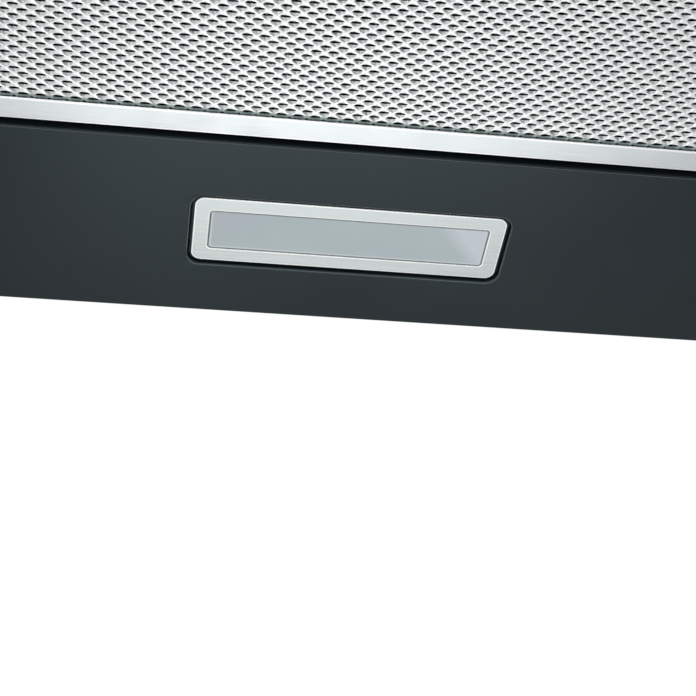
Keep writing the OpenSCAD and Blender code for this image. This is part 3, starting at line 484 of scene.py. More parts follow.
@dataclass(frozen=True)
class PressedAluminium(Finish):
    """Slit and pressed aluminium foil: matt bright metal rubbed by the rolls, with painted reflection streaks
    in its hollows and painted shade where the frame holds it.
    """

    dark: str = "#f3f6f7"
    bright: str = "#fdfefe"
    roughness: tuple[float, float] = (0.34, 0.46)
    painted_streak_mm: float = 0.0
    middle: tuple[float, float, float] | None = None
    half: tuple[float, float] = (188 * MM, 148 * MM)
    frame_shade_band: tuple[float, float] = (1.5 * MM, 2.6 * MM)

    def dress(self, tree: bpy.types.NodeTree, shader: bpy.types.Node) -> None:
        """Varies the metal from strand to strand, or paints diagonal reflection streaks on it, and paints
        shade towards the frame.
        """
        place = place_in(tree)
        rub = grain(tree, place, 0.5, 1.0)
        # painted reflection: the flanks' diagonal streaks stand in for the light that the hollows catch
        if self.painted_streak_mm:
            source = add(tree, "ShaderNodeTexCoord")
            turned = add(
                tree, "ShaderNodeMapping",
                {"Rotation": (0.0, 0.0, math.radians(42)), "Scale": (5.0, 1.0, 1.0)},
                {"Vector": source.outputs["Object"]}, vector_type="TEXTURE",
            )
            pattern = grain(tree, turned.outputs["Vector"], self.painted_streak_mm, 2.0)
            stops = [(0.36, self.dark), (0.62, self.bright)]
        else:
            pattern = grain(tree, place, 3.0, 1.0)
            stops = [(0.3, self.dark), (0.7, self.bright)]
        colour = tint(tree, pattern, stops)
        # painted shade: darkens the foil towards the frame's inner edge
        if self.middle is not None:
            near, _ = inward(tree, self.middle, self.half)
            colour = blend_in(tree, colour, spread(tree, near, 1.0, 0.0, *self.frame_shade_band), "#8b9896")
        tree.links.new(colour, shader.inputs["Base Color"])
        tree.links.new(spread(tree, rub, *self.roughness), shader.inputs["Roughness"])
        tree.links.new(bump(tree, rub, 0.02, 0.6), shader.inputs["Normal"])
        shader.inputs["Metallic"].default_value = 1.0


@dataclass(frozen=True)
class CoarseNet(Finish):
    """The inner layers of coarse expanded aluminium: bright strands on a near-black ground, which is painted
    shade for the deep gaps.
    """

    strand: str = "#858b8d"
    # painted shade: the near-black ground stands for the shade in the gaps
    gap: str = "#050606"
    cell_mm: float = 4.2
    strand_share: float = 0.055

    def dress(self, tree: bpy.types.NodeTree, shader: bpy.types.Node) -> None:
        """Draws the strands along the borders of cells."""
        place = place_in(tree)
        cells = add(
            tree, "ShaderNodeTexVoronoi",
            {"Scale": 1 / (self.cell_mm * MM), "Randomness": 0.7}, {"Vector": place},
            feature="DISTANCE_TO_EDGE",
        )
        strand = spread(
            tree, cells.outputs["Distance"], 0.0, 1.0, self.strand_share, 1.6 * self.strand_share,
        )
        tree.links.new(tint(tree, strand, [(0.0, self.strand), (1.0, self.gap)]), shader.inputs["Base Color"])
        tree.links.new(spread(tree, grain(tree, place, 0.6), 0.5, 0.7), shader.inputs["Roughness"])
        tree.links.new(bump(tree, strand, 0.1), shader.inputs["Normal"])
        shader.inputs["Metallic"].default_value = 1.0


@dataclass(frozen=True)
class ZincCoat(Finish):
    """Hot-dipped zinc on steel: flat frozen crystals, each with its own grey and gloss."""

    crystal_mm: float = 9.0
    dark: str = "#8f9597"
    bright: str = "#bcc1c3"

    def dress(self, tree: bpy.types.NodeTree, shader: bpy.types.Node) -> None:
        """Tints each crystal by its own random value."""
        place = place_in(tree)
        cells = add(
            tree, "ShaderNodeTexVoronoi",
            {"Scale": 1 / (self.crystal_mm * MM), "Randomness": 1.0}, {"Vector": place},
        )
        split = add(tree, "ShaderNodeSeparateColor", links={"Color": cells.outputs["Color"]})
        colour = tint(tree, split.outputs["Red"], [(0.0, self.dark), (1.0, self.bright)])
        tree.links.new(colour, shader.inputs["Base Color"])
        tree.links.new(spread(tree, split.outputs["Green"], 0.34, 0.52, 0.0, 1.0), shader.inputs["Roughness"])
        tree.links.new(bump(tree, grain(tree, place, 0.6), 0.01), shader.inputs["Normal"])
        shader.inputs["Metallic"].default_value = 0.9


@dataclass(frozen=True)
class TurnedSteel(Finish):
    """Turned or plated plain steel: an even grey metal with fine marks of the tool."""

    dark: str = "#84898c"
    bright: str = "#adb2b5"
    roughness: tuple[float, float] = (0.26, 0.42)

    def dress(self, tree: bpy.types.NodeTree, shader: bpy.types.Node) -> None:
        """Speckles the metal and its gloss."""
        place = place_in(tree)
        mark = grain(tree, place, 0.8, 3.0)
        tree.links.new(tint(tree, mark, [(0.3, self.dark), (0.7, self.bright)]), shader.inputs["Base Color"])
        tree.links.new(spread(tree, mark, *self.roughness), shader.inputs["Roughness"])
        tree.links.new(bump(tree, mark, 0.01, 0.5), shader.inputs["Normal"])
        shader.inputs["Metallic"].default_value = 1.0


@dataclass(frozen=True)
class MouldedPlastic(Finish):
    """Moulded plastic with a spark-eroded texture: an even colour with a fine matt grit."""

    dark: str = "#1a1c1d"
    bright: str = "#232526"
    grit_mm: float = 0.4
    roughness: tuple[float, float] = (0.42, 0.58)
    ior: float = 1.5

    def dress(self, tree: bpy.types.NodeTree, shader: bpy.types.Node) -> None:
        """Gives the plastic its grit and a slow change of shade from the flow in the mould."""
        place = place_in(tree)
        flow = grain(tree, place, 35.0, 2.0)
        grit = grain(tree, place, self.grit_mm, 1.0)
        colour = tint(tree, flow, [(0.35, self.dark), (0.65, self.bright)])
        tree.links.new(colour, shader.inputs["Base Color"])
        tree.links.new(spread(tree, grit, *self.roughness), shader.inputs["Roughness"])
        tree.links.new(bump(tree, grit, 0.01), shader.inputs["Normal"])
        shader.inputs["IOR"].default_value = self.ior


@dataclass(frozen=True)
class EtchedAcrylic(Finish):
    """Opal acrylic with a satin-etched face: cool grey, with the tray's sloping ends painted as soft wedges,
    a lit one at the right-hand end and a shaded one at the left.

    A thin paler line is painted along the wall side and both ends, a painted highlight for light that travels
    in the sheet and leaves at its border.
    """

    tone: tuple[str, str] = ("#bdcbcf", "#c2cfd2")
    lit: str = "#dae2e9"
    shade: str = "#c1c9d0"
    middle: tuple[float, float, float] = (0.0, 0.0, 0.0)
    half: tuple[float, float] = (70.5 * MM, 12.0 * MM)
    wedge: float = 13.0 * MM

    def dress(self, tree: bpy.types.NodeTree, shader: bpy.types.Node) -> None:
        """Paints a lit wedge and a shaded wedge at the two ends and a highlight line along the border, and
        etches the face.
        """
        place = place_in(tree, centre=self.middle)
        split = add(tree, "ShaderNodeSeparateXYZ", links={"Vector": place})
        etch = grain(tree, place, 0.5, 2.0)
        cloud = grain(tree, place, 30.0, 1.0)
        colour = tint(tree, cloud, [(0.3, self.tone[0]), (0.7, self.tone[1])])
        # painted light: the right-hand end lit and the left-hand end shaded
        for way, code in ((1.0, self.lit), (-1.0, self.shade)):
            colour = blend_in(tree, colour, self.end(tree, split, way), code)
        x, y, z = self.middle
        # painted highlight: a paler line along the border
        border = past_edge(tree, (x, y - 1 * MM, z), (self.half[0], self.half[1] + 1 * MM), 1.5 * MM)
        colour = blend_in(tree, colour, spread(tree, border, 0.0, 1.0, -1.5 * MM, -0.8 * MM), "#dfe5e8")
        tree.links.new(colour, shader.inputs["Base Color"])
        tree.links.new(spread(tree, etch, 0.38, 0.48), shader.inputs["Roughness"])
        tree.links.new(bump(tree, etch, 0.004), shader.inputs["Normal"])
        shader.inputs["IOR"].default_value = 1.49

    def end(self, tree: bpy.types.NodeTree, split: bpy.types.Node, way: float) -> bpy.types.NodeSocket:
        """Gives 1 within the wedge at one end of the lens and fades to 0 at its slanting edge.

        Args:
            tree: The material's tree.
            split: The node with the place on the lens.
            way: 1 for the right-hand end and -1 for the left-hand one.

        Returns:
            The socket with the wedge.
        """
        slant = add(tree, "ShaderNodeMath", {1: -0.8}, {0: split.outputs["Y"]}, operation="MULTIPLY")
        along = add(
            tree, "ShaderNodeMath", {1: way}, {0: split.outputs["X"]}, operation="MULTIPLY",
        )
        both = add(
            tree, "ShaderNodeMath",
            links={0: along.outputs["Value"], 1: slant.outputs["Value"]}, operation="ADD",
        )
        edge = self.half[0] - self.wedge
        return spread(tree, both.outputs["Value"], 0.0, 1.0, edge - 5 * MM, edge + 6 * MM)


@dataclass(frozen=True)
class CircuitBoard(Finish):
    """Glass-fibre board under a lacquer, with the pale tracks of its copper."""

    lacquer: str = "#1f5a39"
    track: str = "#2f7d50"

    def dress(self, tree: bpy.types.NodeTree, shader: bpy.types.Node) -> None:
        """Draws the tracks as bands of a grid of cells."""
        place = place_in(tree)
        cells = add(
            tree, "ShaderNodeTexVoronoi", {"Scale": 1 / (4.0 * MM)}, {"Vector": place},
            distance="MANHATTAN", feature="F1",
        )
        band = add(
            tree, "ShaderNodeMath", {1: 0.42}, {0: cells.outputs["Distance"]}, operation="GREATER_THAN",
        )
        weave = grain(tree, place, 0.5)
        colour = tint(tree, band.outputs["Value"], [(0.0, self.lacquer), (1.0, self.track)])
        tree.links.new(colour, shader.inputs["Base Color"])
        tree.links.new(spread(tree, weave, 0.3, 0.4), shader.inputs["Roughness"])
        tree.links.new(bump(tree, band.outputs["Value"], 0.03), shader.inputs["Normal"])


PAINT = PowderCoat("powder coated steel")
# painted highlight: a paler powder coat for the outer faces of the folds, standing in for the light they
# catch
FOLD_HIGHLIGHT = PowderCoat("powder coat thin over a fold", "#545c5e", "#5b6365", 1.1, (0.22, 0.26))
ZINC = ZincCoat("hot dipped zinc steel")
SCREW = TurnedSteel("zinc plated screw steel")
MOTOR = TurnedSteel("phosphated motor steel", "#5b6063", "#72777a", (0.42, 0.56))
BLACK = MouldedPlastic("moulded black polyamide")
WHITE = MouldedPlastic("moulded white abs", "#dcdedb", "#e9ebe8", 0.6, (0.32, 0.44))
RUBBER = MouldedPlastic("moulded nitrile rubber", "#17181a", "#212325", 0.8, (0.7, 0.84))
CAN = TurnedSteel("deep drawn aluminium can", "#b4babd", "#d5dadc", (0.34, 0.48))
STAINLESS = BrushedSteel("belt brushed stainless steel")
# painted highlight: a near-white finish for the bezel's rounded edges
STEEL_EDGE_HIGHLIGHT = TurnedSteel("burnished stainless edge", "#eef1f1", "#fbfcfc", (0.2, 0.3))
EDGE = MouldedPlastic("polished acrylic edge", "#a9b0b4", "#b4bbbe", 0.8, (0.16, 0.24), 1.49)
BUTTON = BrushedSteel("brushed stainless button", "#bcc1c0", "#e2e5e3", 0, 0.3, 20.0, (0.24, 0.36))
BOARD = CircuitBoard("lacquered glass fibre board")
CORE = CoarseNet("coarse expanded aluminium")
CATCH = RolledAluminium("rolled aluminium catch")
INK = MouldedPlastic("printed button mark", "#2a2d2f", "#333638", 0.3, (0.5, 0.6))


# Work in edit mode


def deselect() -> None:
    """Deselects every object."""
    bpy.ops.object.select_all(action="DESELECT")


def take(piece: bpy.types.Object) -> None:
    """Selects one object alone and makes it the active one."""
    deselect()
    piece.select_set(True)
    bpy.context.view_layer.objects.active = piece


def edit(piece: bpy.types.Object) -> None:
    """Opens one piece in edit mode with nothing selected."""
    take(piece)
    bpy.ops.object.mode_set(mode="EDIT")
    bpy.ops.mesh.select_all(action="DESELECT")


def leave() -> None:
    """Goes back to object mode."""
    bpy.ops.object.mode_set(mode="OBJECT")


def choose(piece: bpy.types.Object, part: Part, test: Callable[[object], bool]) -> int:
    """Selects the points, edges or faces of an open piece that pass a test.

    Args:
        piece: The piece that is open in edit mode.
        part: Which parts are looked at.
        test: Says of one of them whether it is taken.

    Returns:
        How many were taken.
    """
    bpy.ops.mesh.select_all(action="DESELECT")
    bpy.ops.mesh.select_mode(type=part.value)
    mesh = bmesh.from_edit_mesh(piece.data)
    sets = {Part.POINT: mesh.verts, Part.EDGE: mesh.edges, Part.FACE: mesh.faces}
    taken = 0
    for item in sets[part]:
        wanted = test(item)
        item.select_set(wanted)
        taken += wanted
    mesh.select_flush_mode()
    bmesh.update_edit_mesh(piece.data)
    return taken


def lies(edge: bmesh.types.BMEdge, axis: int, value: float, near: float = 0.01 * MM) -> bool:
    """Says whether both ends of an edge have one coordinate at a value."""
    return all(abs(end.co[axis] - value) < near for end in edge.verts)


def upright(edge: bmesh.types.BMEdge) -> bool:
    """Says whether an edge runs along Z."""
    way = edge.verts[1].co - edge.verts[0].co
    return abs(way.x) < 1e-6 and abs(way.y) < 1e-6


def slab(name: str, low: Vector, high: Vector) -> bpy.types.Object:
    """Adds a block between two corners, as the start of a piece.

    Args:
        name: The piece's name.
        low: Its lowest corner, in metres.
        high: Its highest corner, in metres.

    Returns:
        The new object, with its place and size in its mesh.
    """
    deselect()
    bpy.ops.mesh.primitive_cube_add(size=1.0, location=(low + high) / 2)
    piece = bpy.context.active_object
    piece.name = name
    piece.scale = high - low
    bpy.ops.object.transform_apply(location=True, rotation=True, scale=True)
    return piece


def sheet(name: str, low: Vector, high: Vector) -> bpy.types.Object:
    """Adds a flat rectangle between two corners at the height of the first."""
    deselect()
    middle = (low + high) / 2
    bpy.ops.mesh.primitive_plane_add(size=1.0, location=(middle.x, middle.y, low.z))
    piece = bpy.context.active_object
    piece.name = name
    piece.scale = (high.x - low.x, high.y - low.y, 1.0)
    bpy.ops.object.transform_apply(location=True, rotation=True, scale=True)
    return piece


def score(axis: int, values: Iterable[float]) -> None:
    """Cuts the faces of the piece that is open in edit mode along planes square to one axis.

    Args:
        axis: 0 for X, 1 for Y and 2 for Z.
        values: Where the planes lie, in metres.
    """
    normal = [0.0, 0.0, 0.0]
    normal[axis] = 1.0
    for value in values:
        point = [0.0, 0.0, 0.0]
        point[axis] = value
        bpy.ops.mesh.select_all(action="SELECT")
        bpy.ops.mesh.bisect(plane_co=point, plane_no=normal)


def apply(piece: bpy.types.Object, kind: str, **settings: object) -> None:
    """Adds a modifier to a piece and applies it.

    Args:
        piece: The piece.
        kind: Blender's name for the modifier's type.
        **settings: The modifier's settings.
    """
    take(piece)
    modifier = piece.modifiers.new(kind.lower(), kind)
    for name, value in settings.items():
        setattr(modifier, name, value)
    bpy.ops.object.modifier_apply(modifier=modifier.name)


def cut(piece: bpy.types.Object, tool: bpy.types.Object) -> None:
    """Takes the form of a tool out of a piece, and removes the tool."""
    apply(piece, "BOOLEAN", operation="DIFFERENCE", solver="EXACT", object=tool)
    bpy.data.objects.remove(tool)


def smooth(piece: bpy.types.Object, angle: float = 35.0, flat: bool = False) -> None:
    """Shades a piece smooth across its slight folds.

    Args:
        piece: The piece.
        angle: The largest fold that is smoothed, in degrees.
        flat: Whether the large faces beside a fold are kept flat.
    """
    take(piece)
    bpy.ops.object.shade_smooth_by_angle(angle=math.radians(angle))
    if flat:
        apply(piece, "WEIGHTED_NORMAL", mode="FACE_AREA", weight=100, keep_sharp=True)


def wear(piece: bpy.types.Object, *finishes: Finish) -> None:
    """Gives a piece its finishes by number, in place of any it has."""
    held = piece.data.materials
    while len(held) < len(finishes):
        held.append(None)
    for number, finish in enumerate(finishes):
        held[number] = finish.material()


def hand_over(piece: bpy.types.Object, body: str, slot: str, *nodes: str) -> bpy.types.Object:
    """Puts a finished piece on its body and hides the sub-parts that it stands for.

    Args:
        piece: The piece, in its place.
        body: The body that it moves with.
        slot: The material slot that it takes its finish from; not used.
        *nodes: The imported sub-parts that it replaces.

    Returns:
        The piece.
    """
    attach(piece, body)
    if nodes:
        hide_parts(*nodes)
    log.info("%s: %d faces on %s", piece.name, len(piece.data.polygons), body)
    return piece


def soften(
    node: str,
    finish: Finish,
    radius_mm: float = 0.3,
    steps: int = 2,
    angle: float = 32.0,
    edge_finish: Finish | None = None,
) -> None:
    """Dresses a packed sub-part that keeps its shape, and rounds its sharp edges a little.

    Args:
        node: The sub-part's name.
        finish: What it is made of.
        radius_mm: The width of the rounding in millimetres.
        steps: How many faces a rounding has.
        angle: The smallest fold that is rounded, in degrees.
        edge_finish: What the rounding itself looks like, if it differs.
    """
    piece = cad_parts[node]
    wear(piece, *(item for item in (finish, edge_finish) if item is not None))
    weld = piece.modifiers.new("weld", "WELD")
    weld.merge_threshold = 0.002 * MM
    flat = piece.modifiers.new("flat", "DECIMATE")
    flat.decimate_type = "DISSOLVE"
    flat.angle_limit = math.radians(0.5)
    if radius_mm:
        edge = piece.modifiers.new("edge", "BEVEL")
        edge.width = radius_mm * MM
        edge.segments = steps
        edge.limit_method = "ANGLE"
        edge.angle_limit = math.radians(angle)
        edge.harden_normals = False
        edge.material = -1 if edge_finish is None else 1
    log.info("%s: kept, with edges of %.2f mm", node, radius_mm)


# The painted bottom frame


@dataclass
class BottomFrame:
    """The painted tray under the canopy, folded round both filter bays, with a pressed pan for each lamp."""

    width: float = 898 * MM
    front: float = -499 * MM
    rim: float = 18 * MM
    steel: float = 1.0 * MM
    bay_x: float = 213.5 * MM
    bay_y: float = -275 * MM
    bay: tuple[float, float] = (404 * MM, 324 * MM)
    bay_wall: float = 14 * MM
    lamp_y: float = -55.5 * MM
    pan: tuple[float, float] = (161.5 * MM, 45 * MM)
    pan_depth: float = 3.5 * MM
    pan_corner: float = 7 * MM
    ledge: float = 7.5 * MM
    fold: float = 1.3 * MM
    pan_fold: float = 1.3 * MM
    pan_highlight_steep: tuple[float, float] = (0.7, 0.9)
    fold_highlight_steep: tuple[float, float] = (0.9, 0.995)
    highlight_height: float = 0.3 * MM
    pin: tuple[float, float, float] = (-119 * MM, 7 * MM, 2.05 * MM)
    tongue: tuple[float, float, float] = (8.4 * MM, 5.9 * MM, 8.7 * MM)

    def build(self) -> bpy.types.Object:
        """Folds the tray from one sheet and hands it over."""
        piece = self.blank()
        self.raise_walls(piece)
        self.press_pans(piece)
        self.round_folds(piece)
        self.mark_folds(piece)
        self.thicken(piece)
        self.pierce(piece)
        smooth(piece, 35.0, flat=True)
        wear(piece, PAINT, FOLD_HIGHLIGHT)
        return hand_over(piece, "hood", "painted_steel", "bottom_frame")

    def spans(self, size: tuple[float, float], middle_y: float) -> list[tuple[float, float, float, float]]:
        """Gives the two mirrored rectangles of a size, as lowest x, highest x, lowest y and highest y."""
        return [
            (
                side.value * self.bay_x - size[0] / 2, side.value * self.bay_x + size[0] / 2,
                middle_y - size[1] / 2, middle_y + size[1] / 2,
            )
            for side in Side
        ]

    def blank(self) -> bpy.types.Object:
        """Cuts the flat sheet along every line that is folded later, and opens the bays."""
        half = self.width / 2
        piece = sheet("bottom_tray", Vector((-half, self.front, 0.0)), Vector((half, 0.0, 0.0)))
        bays = self.spans(self.bay, self.bay_y)
        pans = self.spans(self.pan, self.lamp_y)
        edit(piece)
        for spans in (bays, pans):
            score(0, [value for span in spans for value in span[:2]])
            score(1, spans[0][2:])
        choose(piece, Part.FACE, lambda face: self.within(face.calc_center_median(), bays))
        bpy.ops.mesh.delete(type="FACE")
        leave()
        return piece

    @staticmethod
    def within(point: Vector, spans: Iterable[tuple[float, float, float, float]]) -> bool:
        """Says whether a point lies inside one of the rectangles."""
        return any(
            low_x < point.x < high_x and low_y < point.y < high_y for low_x, high_x, low_y, high_y in spans
        )

    @staticmethod
    def widened(
        spans: Iterable[tuple[float, float, float, float]],
        margin: float,
    ) -> list[tuple[float, float, float, float]]:
        """Gives the rectangles with a margin added on every side."""
        return [(a - margin, b + margin, c - margin, d + margin) for a, b, c, d in spans]

    def raise_walls(self, piece: bpy.types.Object) -> None:
        """Turns up the walls of the bays and the outer rim."""
        half = self.width / 2
        wide = self.widened(self.spans(self.bay, self.bay_y), 0.1 * MM)
        edit(piece)
        choose(
            piece, Part.EDGE,
            lambda edge: edge.is_boundary and all(self.within(end.co, wide) for end in edge.verts),
        )
        bpy.ops.mesh.extrude_region_move(TRANSFORM_OT_translate={"value": (0.0, 0.0, self.bay_wall)})
        choose(
            piece, Part.EDGE,
            lambda edge: edge.is_boundary and (
                lies(edge, 0, -half) or lies(edge, 0, half) or lies(edge, 1, self.front) or lies(edge, 1, 0.0)
            ),
        )
        bpy.ops.mesh.extrude_region_move(TRANSFORM_OT_translate={"value": (0.0, 0.0, self.rim)})
        leave()

    def press_pans(self, piece: bpy.types.Object) -> None:
        """Presses a pan for each lamp up out of the strip, and opens its window."""
        edit(piece)
        choose(
            piece, Part.FACE,
            lambda face: self.within(face.calc_center_median(), self.spans(self.pan, self.lamp_y)),
        )
        bpy.ops.mesh.extrude_region_move(TRANSFORM_OT_translate={"value": (0.0, 0.0, self.pan_depth)})
        bpy.ops.mesh.inset(thickness=self.ledge, use_individual=True)
        bpy.ops.mesh.delete(type="FACE")
        leave()

    def round_folds(self, piece: bpy.types.Object) -> None:
        """Rounds the corners of the pans and bays, and then each fold of the sheet."""
        edit(piece)
        bpy.ops.mesh.select_all(action="SELECT")
        bpy.ops.mesh.dissolve_limited(angle_limit=FLAT)
        pans = self.widened(self.spans(self.pan, self.lamp_y), self.steel)
        choose(piece, Part.EDGE, lambda edge: upright(edge) and self.within(edge.verts[0].co, pans))
        bpy.ops.mesh.bevel(offset=self.pan_corner, segments=7, affect="EDGES", clamp_overlap=True)
        choose(piece, Part.EDGE, lambda edge: upright(edge) and not self.within(edge.verts[0].co, pans))
        bpy.ops.mesh.bevel(offset=self.fold, segments=3, affect="EDGES", clamp_overlap=True)
        choose(
            piece, Part.EDGE,
            lambda edge: lies(edge, 2, 0.0) and edge.calc_face_angle(0.0) > SHARP
            and not self.within(edge.verts[0].co, pans),
        )
        bpy.ops.mesh.bevel(offset=self.fold, segments=4, affect="EDGES", clamp_overlap=True)
        choose(
            piece, Part.EDGE,
            lambda edge: edge.calc_face_angle(0.0) > SHARP and self.within(edge.verts[0].co, pans)
            and (lies(edge, 2, 0.0) or lies(edge, 2, self.pan_depth)),
        )
        bpy.ops.mesh.bevel(offset=self.pan_fold, segments=4, affect="EDGES", clamp_overlap=False)
        leave()

    def mark_folds(self, piece: bpy.types.Object) -> None:
        """Marks the outer faces of each fold, which take a paler finish as a painted highlight line."""
        pans = self.widened(self.spans(self.pan, self.lamp_y), 2 * self.steel)
        edit(piece)
        mesh = bmesh.from_edit_mesh(piece.data)
        for face in mesh.faces:
            middle, steep = face.calc_center_median(), abs(face.normal.z)
            least, most = self.pan_highlight_steep if self.within(middle, pans) else self.fold_highlight_steep
            # painted highlight: steep fold faces near the sheet's face take the paler finish
            face.material_index = 1 if middle.z < self.highlight_height and least < steep < most else 0
        bmesh.update_edit_mesh(piece.data)
        leave()

    def thicken(self, piece: bpy.types.Object) -> None:
        """Turns every face to the room, and gives the sheet its thickness behind it."""
        edit(piece)
        bpy.ops.mesh.select_all(action="SELECT")
        bpy.ops.mesh.remove_doubles(threshold=TOUCH)
        bpy.ops.mesh.normals_make_consistent(inside=False)
        leave()
        down = max(piece.data.polygons, key=lambda face: face.area).normal.z < 0
        if not down:
            edit(piece)
            bpy.ops.mesh.select_all(action="SELECT")
            bpy.ops.mesh.flip_normals()
            leave()
        apply(piece, "SOLIDIFY", thickness=self.steel, offset=-1.0, use_even_offset=True)

    def pierce(self, piece: bpy.types.Object) -> None:
        """Cuts the holes for the hinge pins and the slots for the catches."""
        pin_y, pin_z, pin_r = self.pin
        half_w, low, high = self.tongue
        front = self.bay_y - self.bay[1] / 2
        for side in Side:
            middle = side.value * self.bay_x
            deselect()
            bpy.ops.mesh.primitive_cylinder_add(
                vertices=24, radius=pin_r, depth=self.bay[0] + 6 * self.steel,
                location=(middle, pin_y, pin_z), rotation=(0.0, math.pi / 2, 0.0),
            )
            bpy.ops.object.transform_apply(location=True, rotation=True, scale=True)
            cut(piece, bpy.context.active_object)
            tool = slab(
                "slot tool",
                Vector((middle - half_w, front - 3 * self.steel, low)),
                Vector((middle + half_w, front + 2 * self.steel, high)),
            )
            cut(piece, tool)


# The filters


@dataclass
class NetCell:
    """One mesh of slit and pressed foil: a lens-shaped gap whose rear lip is pushed up into a hollow."""

    long_way: float = 8.0 * MM
    short_way: float = 5.745 * MM
    slit: tuple[float, float] = (2.6 * MM, -1.15 * MM)
    slit_top: tuple[float, float] = (2.1 * MM, -1.55 * MM)
    slit_middle: float = -1.64 * MM
    bowl: tuple[float, float] = (1.6 * MM, 0.85 * MM)
    bowl_end: float = 1.62 * MM
    skew: float = 0.3 * MM
    lip_y: float = 0.16 * MM
    lip_rise: float = 0.64 * MM
    foil: float = 0.22 * MM
    pillow: float = 0.12 * MM
    border: float = 0.2 * MM

    def ring(self) -> list[tuple[float, float, float]]:
        """Gives the outer corners and middles of the cell, from the right-hand corner to the rear."""
        x, y = self.long_way / 2, self.short_way / 2
        return [
            (x, 0.0, 0.0), (x / 2, y / 2, 0.0), (0.0, y, 0.0), (-x / 2, y / 2, 0.0),
            (-x, 0.0, 0.0), (-x / 2, -y / 2, 0.0), (0.0, -y, 0.0), (x / 2, -y / 2, 0.0),
        ]

    def rim(self) -> list[tuple[float, float, float]]:
        """Gives the corners of the gap in that order: straight at the slit, and a skewed bowl behind."""
        p, skew = self.pillow, self.skew
        (end_x, end_y), (top_x, top_y), (bowl_x, bowl_y) = self.slit, self.slit_top, self.bowl
        return [
            (end_x, end_y, p), (bowl_x + skew / 2, bowl_y, p),
            (skew, self.bowl_end, p), (-bowl_x, bowl_y, p),
            (-end_x - skew, end_y + skew, p), (-top_x, top_y, p),
            (0.0, self.slit_middle, p), (top_x, top_y, p),
        ]

    def lip(self) -> dict[int, tuple[float, float, float]]:
        """Gives the corners of the wavy raised lip, by the place of the rim corner that each comes from."""
        end_x, end_y = self.slit
        rise = self.pillow + self.lip_rise
        low = self.pillow + 0.12 * MM
        return {
            0: (0.95 * end_x, end_y + 0.42 * MM, low),
            1: (0.54 * end_x, self.lip_y - 0.16 * MM, 0.9 * rise),
            2: (-0.04 * end_x, self.lip_y, 0.94 * rise),
            3: (-0.66 * end_x, self.lip_y - 0.2 * MM, 0.76 * rise),
            4: (-0.95 * end_x, end_y + 0.3 * MM, low),
        }

    def build(self, pressed: bool) -> bpy.types.Object:
        """Models one cell from an eight-sided face.

        Args:
            pressed: Whether the rear lip is pushed up, as on the front net.

        Returns:
            The cell, centred on the origin.
        """
        deselect()
        bpy.ops.mesh.primitive_circle_add(vertices=8, radius=1.0, fill_type="NGON", location=(0.0, 0.0, 0.0))
        cell = bpy.context.active_object
        edit(cell)
        circle = {number: self.nearest(place, 1.0) for number, place in enumerate(self.ring())}
        self.move(cell, circle, self.ring())
        choose(cell, Part.FACE, lambda face: True)
        bpy.ops.mesh.inset(thickness=self.border, depth=0.0)
        inner = [face for face in bmesh.from_edit_mesh(cell.data).faces if face.select][0]
        starts = {number: vert.co.copy() for number, vert in enumerate(self.sorted_round(inner))}
        self.move(cell, starts, self.rim())
        choose(cell, Part.FACE, lambda face: len(face.verts) == 8)
        bpy.ops.mesh.delete(type="ONLY_FACE")
        if pressed:
            self.push_lip(cell)
        leave()
        return cell

    @staticmethod
    def nearest(place: tuple[float, float, float], radius: float) -> Vector:
        """Gives the point of the starting circle in the direction of a place, on an eighth of a turn."""
        turn = round(math.atan2(place[1], place[0]) / (math.pi / 4)) * math.pi / 4
        return Vector((radius * math.cos(turn), radius * math.sin(turn), 0.0))

    @staticmethod
    def sorted_round(face: bmesh.types.BMFace) -> list[bmesh.types.BMVert]:
        """Gives a face's corners in order round the origin, from the right-hand one."""
        return sorted(face.verts, key=lambda vert: math.atan2(vert.co.y, vert.co.x) % (2 * math.pi - 1e-4))

    @staticmethod
    def move(
        cell: bpy.types.Object,
        starts: dict[int, Vector],
        goals: list[tuple[float, float, float]] | dict[int, tuple[float, float, float]],
    ) -> None:
        """Moves the points nearest to some places to others.

        Args:
            cell: The open cell.
            starts: Where each point is, by number.
            goals: Where each goes, by the same number.
        """
        mesh = bmesh.from_edit_mesh(cell.data)
        chosen = {
            number: min(mesh.verts, key=lambda vert: (vert.co - start).length)
            for number, start in starts.items()
        }
        for number, vert in chosen.items():
            vert.co = Vector(goals[number])
        bmesh.update_edit_mesh(cell.data)

    def push_lip(self, cell: bpy.types.Object) -> None:
        """Extrudes the rear edge of the gap into the sloping hollow, and folds its lip up."""
        rim = [Vector(place) for place in self.rim()]
        rear = rim[0:5]
        near = 0.05 * MM
        choose(
            cell, Part.EDGE,
            lambda edge: edge.is_boundary and all(
                any((end.co - place).length < near for place in rear) for end in edge.verts
            ),
        )
        bpy.ops.mesh.extrude_region_move(TRANSFORM_OT_translate={"value": (0.0, 0.0, 5 * near)})
        lifted = {number: rim[number] + Vector((0.0, 0.0, 5 * near)) for number in range(5)}
        self.move(cell, lifted, self.lip())
        lip = [Vector(place) for place in self.lip().values()]
        choose(
            cell, Part.EDGE,
            lambda edge: edge.is_boundary and all(
                any((end.co - place).length < near for place in lip) for end in edge.verts
            ),
        )
        bpy.ops.mesh.extrude_region_move(TRANSFORM_OT_translate={"value": (0.0, 0.0, self.foil)})
        mesh = bmesh.from_edit_mesh(cell.data)
        for face in mesh.faces:
            middle = face.calc_center_median()
            # the hollow's left faces take the painted-shade flank finish and its right faces the
            # painted-highlight one
            face.material_index = 0 if middle.z < 1.6 * self.pillow else 1 if middle.x < 0.0 else 2
        bmesh.update_edit_mesh(cell.data)


